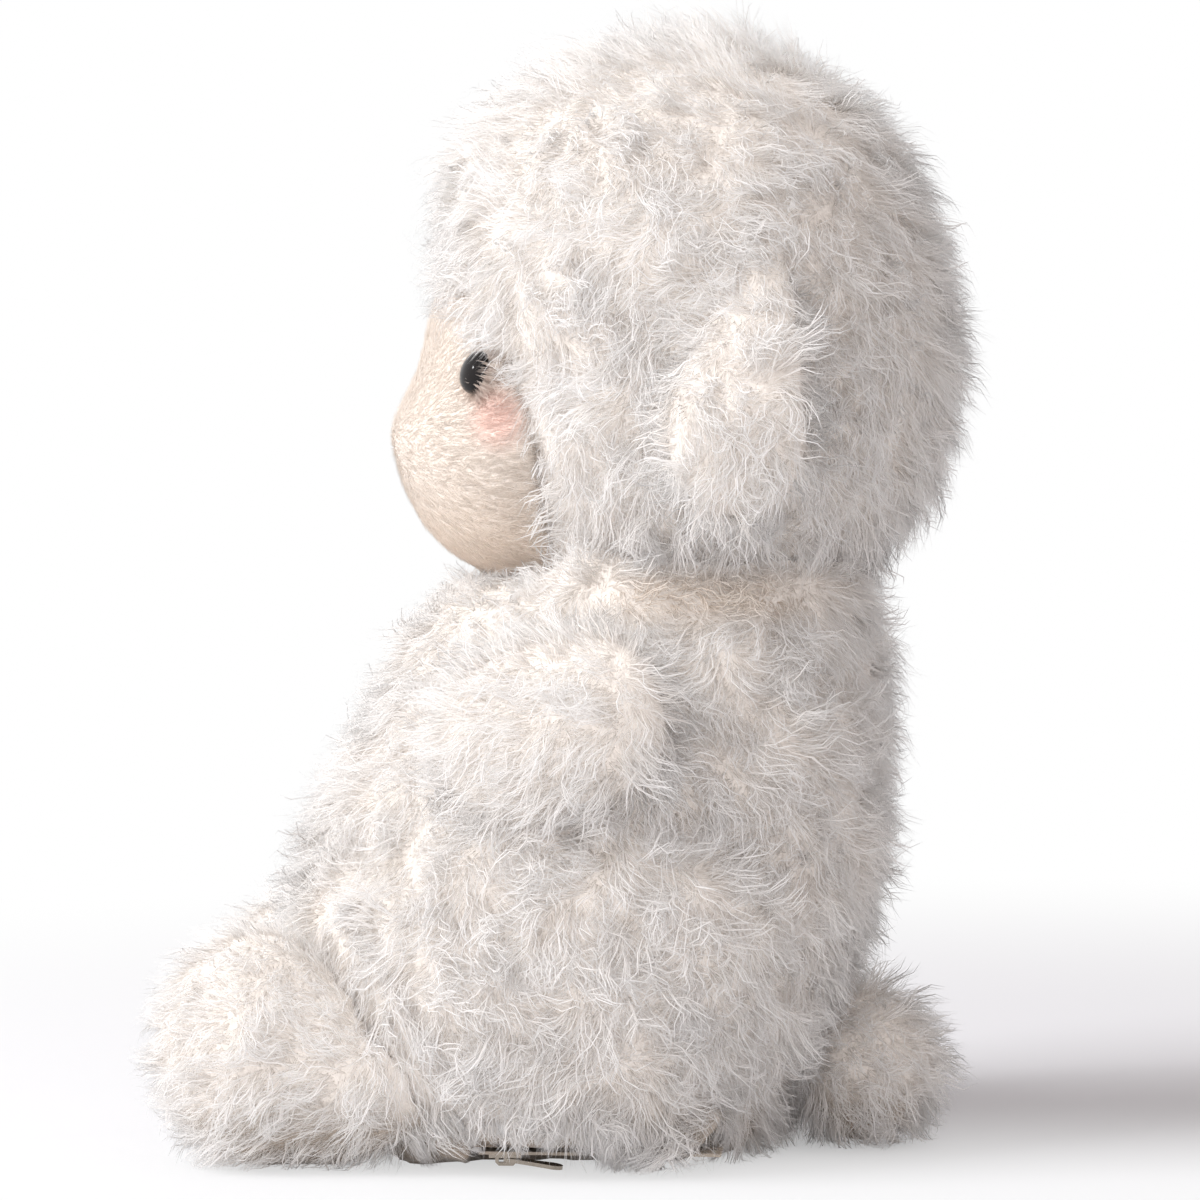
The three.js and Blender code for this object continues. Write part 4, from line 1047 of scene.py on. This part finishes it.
class SHEEP_OT_face(bpy.types.Operator):
    """Make the face with its short nap, and finish the eyes"""

    bl_idname = "sheep.face"
    bl_label = "Face and eyes"

    def execute(self, context):
        nap = 1.6
        skin = solid_from("face_nap", *swell("face", nap, 96, 6))
        cut(skin, front_of_rim(-3.0), "INTERSECT")
        remeshed(skin, 1.8, 3)
        at = points_of(skin.data)
        cover = np.where(depth_inside(tree_of(*swell("face", nap, 64, 5)), at) > 1.2, 0.0, 1.0)
        lashes = {}
        for side in (1, -1):
            mirror = np.array((side, 1, 1))
            centre, facing = np.array(EYE_AT) * mirror, np.array(EYE_FACING) * mirror
            offset = at - centre
            height = offset @ facing
            far = np.linalg.norm(offset - height[:, None] * facing, axis=1)
            near = (np.abs(height) < 9) & (far < 13)
            soft = 1 - np.clip((far - EYE_RADIUS - 0.3) / 5, 0, 1)
            soft = soft * soft * (3 - 2 * soft)
            drop = np.where(near, np.maximum(height + 0.6, 0) * soft, 0)
            at = at - drop[:, None] * facing
            cover = np.where(near & (far < EYE_RADIUS + 0.2), 0.0, cover)
            behind = np.cross(facing, (0, 0, 1)) * side
            behind = behind / np.linalg.norm(behind)
            behind = behind * np.sign(behind[1])
            mound = centre + behind * 8.5 + np.array((0, 0, -1.0))
            swelling = np.clip(1 - np.linalg.norm(at - mound, axis=1) / 9.5, 0, 1)
            rising = np.clip((offset @ behind - 2.5) / 2, 0, 1)
            at = at + (rising * np.sqrt(swelling) * 4.6)[:, None] * facing
            lashes[side] = (near & (far < EYE_RADIUS + 3.2) & (offset @ behind > 1.0), -offset)
        move_points(skin.data, at)
        tip = np.array((0, -70, 185))
        away = unit(unit(at - tip) + np.array((0, 0.9, 0.1)) + drift(at, 9, 2.2) * 0.3)
        comb_skin(skin, away, cover)
        area = surface_area(skin.data, cover)
        count = max(1, math.ceil(area * 2.9 * 4 / 185000))
        share = 1.0
        for part in range(count):
            grow_pile(
                skin, f"face_short_nap_{part + 1}", "head", "face_cloth", face_material(True),
                Density=2.9e6 / count * share, Lock_Density=2.5e5, Length=0.0034, Unevenness=0.2, Width=0.0001,
                Lift=0.34, Spread=0.22, Gather=0.1, Curl=0.0, Turns=0.0, Segments=1, Seed=401 + part, Lock_Seed=5,
            )
        behind = np.zeros(len(at), bool)
        for mask, inward in lashes.values():
            behind |= mask
            away = np.where(mask[:, None], unit(inward), away)
        comb_skin(skin, away, behind)
        grow_pile(
            skin, "face_eye_fringe", "head", "face_cloth", face_material(True), Density=7e6, Lock_Density=1e6,
            Length=0.0054, Unevenness=0.3, Width=0.00011, Lift=0.86, Droop=0.5, Spread=0.3, Gather=0.3,
            Curl=0.0002, Turns=0.4, Segments=3, Seed=451, Lock_Seed=7,
        )
        finish_skin(skin, "face_nap", "head", ["face_panel"], face_material(False))
        for name in ("left_eye", "right_eye"):
            smooth_copy(name, "head", eye_material())
            dress(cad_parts[name + "_washer"], washer_material())
        return {"FINISHED"}


def smooth_copy(node, body, finish):
    """A node's own shape with its faces joined, so that its round parts shine as one."""
    piece = bpy.data.objects.new(node + "_gloss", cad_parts[node].data.copy())
    bpy.context.scene.collection.objects.link(piece)
    work = bmesh.new()
    work.from_mesh(piece.data)
    bmesh.ops.remove_doubles(work, verts=work.verts, dist=0.005 * MM)
    bmesh.ops.recalc_face_normals(work, faces=work.faces)
    for face in work.faces:
        face.smooth = True
    work.to_mesh(piece.data)
    work.free()
    piece.data.set_sharp_from_angle(angle=math.radians(42))
    dress(piece, finish)
    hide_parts(node)
    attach(piece, body)


def mirrored_skin(skin, name):
    """The skin's mirror image, with its faces turned outwards again and its comb mirrored."""
    mesh = skin.data.copy()
    mesh.transform(Matrix.Scale(-1, 4, (1, 0, 0)))
    mesh.flip_normals()
    comb = np.empty(len(mesh.vertices) * 3, np.float32)
    mesh.attributes["comb"].data.foreach_get("vector", comb)
    store(mesh, "comb", comb.reshape(-1, 3) * np.array((-1, 1, 1)), "FLOAT_VECTOR")
    image = bpy.data.objects.new(name, mesh)
    bpy.context.scene.collection.objects.link(image)
    return image


def finish_pair(skin, part, scale=1.0):
    """Wool and finishing for a left skin and its mirror image."""
    image = mirrored_skin(skin, f"right_{part}_wool")
    for side, piece in (("left", skin), ("right", image)):
        node = f"{side}_{part}"
        wool_layers(piece, node, node, scale)
        finish_skin(piece, f"{node}_wool", node, [node], backing_material())


class SHEEP_OT_ears(bpy.types.Operator):
    """Make the drooping ears"""

    bl_idname = "sheep.ears"
    bl_label = "Ears"

    def execute(self, context):
        skin = solid_from("left_ear_wool", *swell("ear", 4.0, 48, 6))
        push_out(skin.data, tree_of(*swell("head", 5.5, 64, 5)), 0.5)
        remeshed(skin, 2.5, 3)
        at = points_of(skin.data)
        high_up = np.clip((at[:, 2] - 200) / 28, 0, 1)
        at[:, 0] -= 2.0 + 8.5 * high_up
        at[:, 1] = 46 + (at[:, 1] - 46) * (1 - 0.1 * high_up)
        droop = np.clip((220 - at[:, 2]) / 16, 0, 1)
        at[:, 1] = 46 - 3.5 * droop + (at[:, 1] - 46) * (1 + 0.16 * droop)
        at[:, 0] -= 7 * np.clip((np.abs(at[:, 1] - 43) - 8) / 13, 0, 1) ** 2
        dimple = np.linalg.norm((at - np.array((86, 35, 206))) * np.array((0.5, 1, 1)), axis=1)
        at[:, 0] -= 3.0 * np.clip(1 - dimple / 9, 0, 1) * (at[:, 0] > 73)
        move_points(skin.data, at)
        cover = clear_of(at, "head", 4.8)
        lobe = np.array((84, 46, 204))
        around = unit((at - lobe) * np.array((0.3, 1, 1))) * 0.45
        comb_skin(skin, around + np.array((0.2, 0.1, -0.8)) + drift(at, 13, 5.5) * 2.0, cover)
        finish_pair(skin, "ear", 0.9)
        return {"FINISHED"}


def arm_place():
    """Where the left arm's form stands in the sheep."""
    hang, toe = math.radians(20), math.radians(9)
    along = Vector((-math.sin(toe) * math.cos(hang), -math.cos(toe) * math.cos(hang), -math.sin(hang)))
    outward = Vector((math.cos(toe), -math.sin(toe), 0))
    across = along.cross(outward)
    place = Matrix((outward, across, along)).transposed().to_4x4()
    place.translation = Vector((72, 14, 124)) - along * 58 / 4
    return place


class SHEEP_OT_arms(bpy.types.Operator):
    """Make the stubby arms"""

    bl_idname = "sheep.arms"
    bl_label = "Arms"

    def execute(self, context):
        place = arm_place()
        skin = solid_from("left_arm_wool", *swell("arm", 5.5, 48, 6, place))
        push_out(skin.data, tree_of(*swell("body", 5.5, 64, 5)), 0.5)
        remeshed(skin, 3.0, 3)
        at = points_of(skin.data)
        cover = clear_of(at, "body", 3.0)
        along = np.array(place.to_3x3() @ Vector((0, 0, 1)))
        middle = np.array(place @ Vector((0, 0, 46)))
        away = unit(at - middle) * 0.8
        comb_skin(skin, along + away + drift(at, 15, 1.4) * 0.8 + np.array((0, 0, -0.3)), cover)
        finish_pair(skin, "arm", 0.95)
        return {"FINISHED"}


class SHEEP_OT_legs(bpy.types.Operator):
    """Make the legs with their round feet"""

    bl_idname = "sheep.legs"
    bl_label = "Legs"

    def execute(self, context):
        toe = math.radians(5)
        along = Vector((math.sin(toe), -math.cos(toe), 0))
        outward = Vector((math.cos(toe), math.sin(toe), 0))
        place = Matrix((outward, Vector((0, 0, 1)), along)).transposed().to_4x4()
        place.translation = Vector((44, -22, 28))
        skin = solid_from("left_leg_wool", *swell("leg", 5.5, 48, 6, place))
        push_out(skin.data, tree_of(*swell("body", 5.5, 64, 5)), 0.5)
        remeshed(skin, 3.0, 3)
        at = points_of(skin.data)
        at[:, 2] = settle(at, 5.0, 8)
        at[:, 2] = np.maximum(at[:, 2], np.clip((at[:, 1] + 66) * 0.5, 0, 15))
        front = np.clip((-58 - at[:, 1]) / 22, 0, 1)
        at[:, 2] += np.clip((at[:, 2] - 8) / 36, 0, 1.2) * 8.5 * front
        at[:, 1] -= 2.5 * np.clip((-88 - at[:, 1]) / 14, 0, 1)
        move_points(skin.data, at)
        cover = clear_of(at, "body", 3.0) * np.where(at[:, 2] < 2.5, 0.0, 1.0)
        toe_end = np.array(place @ Vector((0, 6, 88)))
        away = -unit(at - toe_end) * np.array((0.5, 0.3, 0.5))
        comb_skin(skin, np.array(along) * 0.9 + away + drift(at, 17, 9.3) * 0.6 + np.array((0, 0, -0.7)), cover)
        finish_pair(skin, "leg", 0.74)
        return {"FINISHED"}


class SHEEP_OT_tail(bpy.types.Operator):
    """Make the round tail"""

    bl_idname = "sheep.tail"
    bl_label = "Tail"

    def execute(self, context):
        skin = solid_from("tail_wool", *swell("tail", 5.5, 48, 6))
        push_out(skin.data, tree_of(*swell("body", 5.5, 64, 5)), 0.5)
        remeshed(skin, 2.5, 3)
        at = points_of(skin.data)
        at[:, 2] = settle(at, 5.0, 8)
        move_points(skin.data, at)
        cover = clear_of(at, "body", 3.5) * np.where(at[:, 2] < 2.5, 0.0, 1.0)
        away = unit(at - np.array((0, 55, 30)))
        comb_skin(skin, away + np.array((0, 0.3, -0.7)) + drift(at, 14, 4.2) * 0.7, cover)
        wool_layers(skin, "tail", "tail", 0.85)
        finish_skin(skin, "tail_wool", "tail", ["tail"], backing_material())
        return {"FINISHED"}


class SHEEP_OT_filling(bpy.types.Operator):
    """Make the cushion, pouch and head filling that are inside"""

    bl_idname = "sheep.filling"
    bl_label = "Filling"

    def execute(self, context):
        inner = (("inner_cushion", "torso", 0.8), ("pellet_pouch", "torso", 0.5), ("head_stuffing", "head", 0.85))
        for node, body, fill in inner:
            piece = bpy.data.objects.new(node + "_soft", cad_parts[node].data.copy())
            bpy.context.scene.collection.objects.link(piece)
            work = bmesh.new()
            work.from_mesh(piece.data)
            bmesh.ops.remove_doubles(work, verts=work.verts, dist=0.005 * MM)
            work.to_mesh(piece.data)
            work.free()
            remeshed(piece, 4.0, 6)
            finish_skin(piece, node + "_soft", body, [node], lining_material())
        return {"FINISHED"}


class SHEEP_OT_zip(bpy.types.Operator):
    """Finish the zip's tapes, stops, slider and pull"""

    bl_idname = "sheep.zip"
    bl_label = "Zip"

    def execute(self, context):
        for name in ("zip_tape_inner", "zip_tape_outer"):
            dress(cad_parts[name], tape_material())
        for name in ("zip_top_stop_outer", "zip_top_stop_inner", "zip_bottom_stop", "zip_slider", "zip_pull"):
            dress(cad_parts[name], nickel_material())
        return {"FINISHED"}


def lamp(name, place, target, size, power, colour=(1, 1, 1)):
    """A square lamp that looks at a point."""
    light = bpy.data.lights.new(name, "AREA")
    light.shape = "SQUARE"
    light.size = size
    light.energy = power
    light.color = colour
    holder = bpy.data.objects.new(name, light)
    bpy.context.scene.collection.objects.link(holder)
    holder.location = place
    holder.rotation_euler = (Vector(target) - Vector(place)).to_track_quat("-Z", "Y").to_euler()
    return holder


def seen(w):
    """1 where the eye, a mirror or a glass looks, and 0 for light that falls on the object."""
    path = w.node("ShaderNodeLightPath").outputs
    most = w.math("MAXIMUM", path["Is Camera Ray"], path["Is Glossy Ray"])
    return w.math("MAXIMUM", most, path["Is Transmission Ray"])


class SHEEP_OT_stage(bpy.types.Operator):
    """Make the floor, the surround, the lamps and the camera"""

    bl_idname = "sheep.stage"
    bl_label = "Stage"

    def execute(self, context):
        scene = context.scene
        stage = scene.sheep_stage
        scene.view_settings.view_transform = "Standard"
        target = (0, 0, 0.13)
        lamps = (
            lamp("key_lamp", (0.7, -1.15, 1.5), target, 1.0, stage.key, (0.97, 0.985, 1)),
            lamp("front_lamp", (0.3, -1.4, 0.85), target, 1.0, stage.front, (0.97, 0.985, 1)),
            lamp("fill_lamp", (1.5, -0.3, 0.35), target, 1.0, stage.fill),
        )
        for holder in lamps:
            holder.visible_glossy = False
        lamp("spark_lamp", (0.5, -1.35, 1.05), target, 0.2, stage.spark)

        world = bpy.data.worlds.new("surround")
        scene.world = world
        world.use_nodes = True
        w = Wires(world.node_tree)
        back = world.node_tree.nodes["Background"]
        w.feed(back.inputs["Color"], mix_colour(w, seen(w), (1, 0.94, 0.93, 1), (1, 1, 1, 1)))
        strength = w.result("ShaderNodeMapRange", seen(w), 0.0, 1.0, stage.surround, 1.0)
        w.feed(back.inputs["Strength"], strength)

        half = 6.0
        mesh = bpy.data.meshes.new("floor")
        corners = [(-half, -half, 0), (half, -half, 0), (half, half, 0), (-half, half, 0)]
        mesh.from_pydata(corners, [], [(0, 1, 2, 3)])
        floor = bpy.data.objects.new("floor", mesh)
        scene.collection.objects.link(floor)
        pale = bpy.data.materials.new("pale_floor")
        pale.use_nodes = True
        w = Wires(pale.node_tree)
        shader = pale.node_tree.nodes["Principled BSDF"]
        # To the eye the floor is darker (0.66) than the light it sends on (0.85). Where the glow is weak, near the
        # sheep, this shows as painted shade.
        w.feed(shader.inputs["Base Color"], mix_colour(w, seen(w), (0.85, 0.85, 0.86, 1), (0.66, 0.66, 0.68, 1)))
        shader.inputs["Roughness"].default_value = 0.8
        shader.inputs["Specular IOR Level"].default_value = 0.1
        glow = w.node("ShaderNodeEmission", (1, 1, 1, 1), 1.0)
        place = w.node("ShaderNodeTexCoord").outputs["Object"]
        far = w.vector("DISTANCE", place, (-0.14, 0.12, 0))
        fade = w.result("ShaderNodeMapRange", far, 0.05, 0.62, 0.0, 1.0, interpolation_type="SMOOTHSTEP")
        # Painted light: the floor glows more towards the camera, up to 0.7, which lightens the shadow in front of the
        # sheep.
        near = w.node("ShaderNodeSeparateXYZ", place).outputs[0]
        near = w.result("ShaderNodeMapRange", near, -0.1, 0.08, 0.0, 0.7, interpolation_type="SMOOTHSTEP")
        fade = w.math("MAXIMUM", fade, near)
        both = w.node("ShaderNodeMixShader", w.math("MULTIPLY", fade, seen(w)))
        w.feed(both.inputs[1], shader.outputs[0])
        w.feed(both.inputs[2], glow.outputs[0])
        w.feed(pale.node_tree.nodes["Material Output"].inputs["Surface"], both.outputs[0])
        dress(floor, pale)

        camera = bpy.data.objects.new("camera", bpy.data.cameras.new("camera"))
        scene.collection.objects.link(camera)
        distance, height, aim = 1.3, 0.2, 0.147
        turn = stage.azimuth
        camera.location = (distance * math.sin(turn), -distance * math.cos(turn), height)
        camera.rotation_euler = (Vector((0, 0, aim)) - camera.location).to_track_quat("-Z", "Y").to_euler()
        camera.data.sensor_width = 36.0
        camera.data.lens = 144.5
        scene.camera = camera
        return {"FINISHED"}


class SHEEP_PT_panel(bpy.types.Panel):
    """Lists the sheep's pieces and settings"""

    bl_idname = "SHEEP_PT_panel"
    bl_label = "Plush Sheep"
    bl_space_type = "VIEW_3D"
    bl_region_type = "UI"
    bl_category = "Sheep"

    def draw(self, context):
        layout = self.layout
        for group in (context.scene.sheep_pile, context.scene.sheep_finish, context.scene.sheep_stage):
            box = layout.box()
            for key in group.__annotations__:
                box.prop(group, key)
        for maker in OPERATORS:
            layout.operator(maker.bl_idname)


OPERATORS = (
    SHEEP_OT_stage,
    SHEEP_OT_body,
    SHEEP_OT_head,
    SHEEP_OT_face,
    SHEEP_OT_ears,
    SHEEP_OT_arms,
    SHEEP_OT_legs,
    SHEEP_OT_tail,
    SHEEP_OT_filling,
    SHEEP_OT_zip,
)
GROUPS = {"sheep_pile": SHEEP_PG_pile, "sheep_finish": SHEEP_PG_finish, "sheep_stage": SHEEP_PG_stage}


def register():
    for group in GROUPS.values():
        bpy.utils.register_class(group)
    for key, group in GROUPS.items():
        setattr(bpy.types.Scene, key, PointerProperty(type=group))
    for maker in OPERATORS:
        bpy.utils.register_class(maker)
    bpy.utils.register_class(SHEEP_PT_panel)


def unregister():
    bpy.utils.unregister_class(SHEEP_PT_panel)
    for maker in reversed(OPERATORS):
        bpy.utils.unregister_class(maker)
    for key, group in GROUPS.items():
        delattr(bpy.types.Scene, key)
        bpy.utils.unregister_class(group)


def main():
    register()
    for maker in OPERATORS:
        group, name = maker.bl_idname.split(".")
        getattr(getattr(bpy.ops, group), name)()


if __name__ == "__main__":
    main()
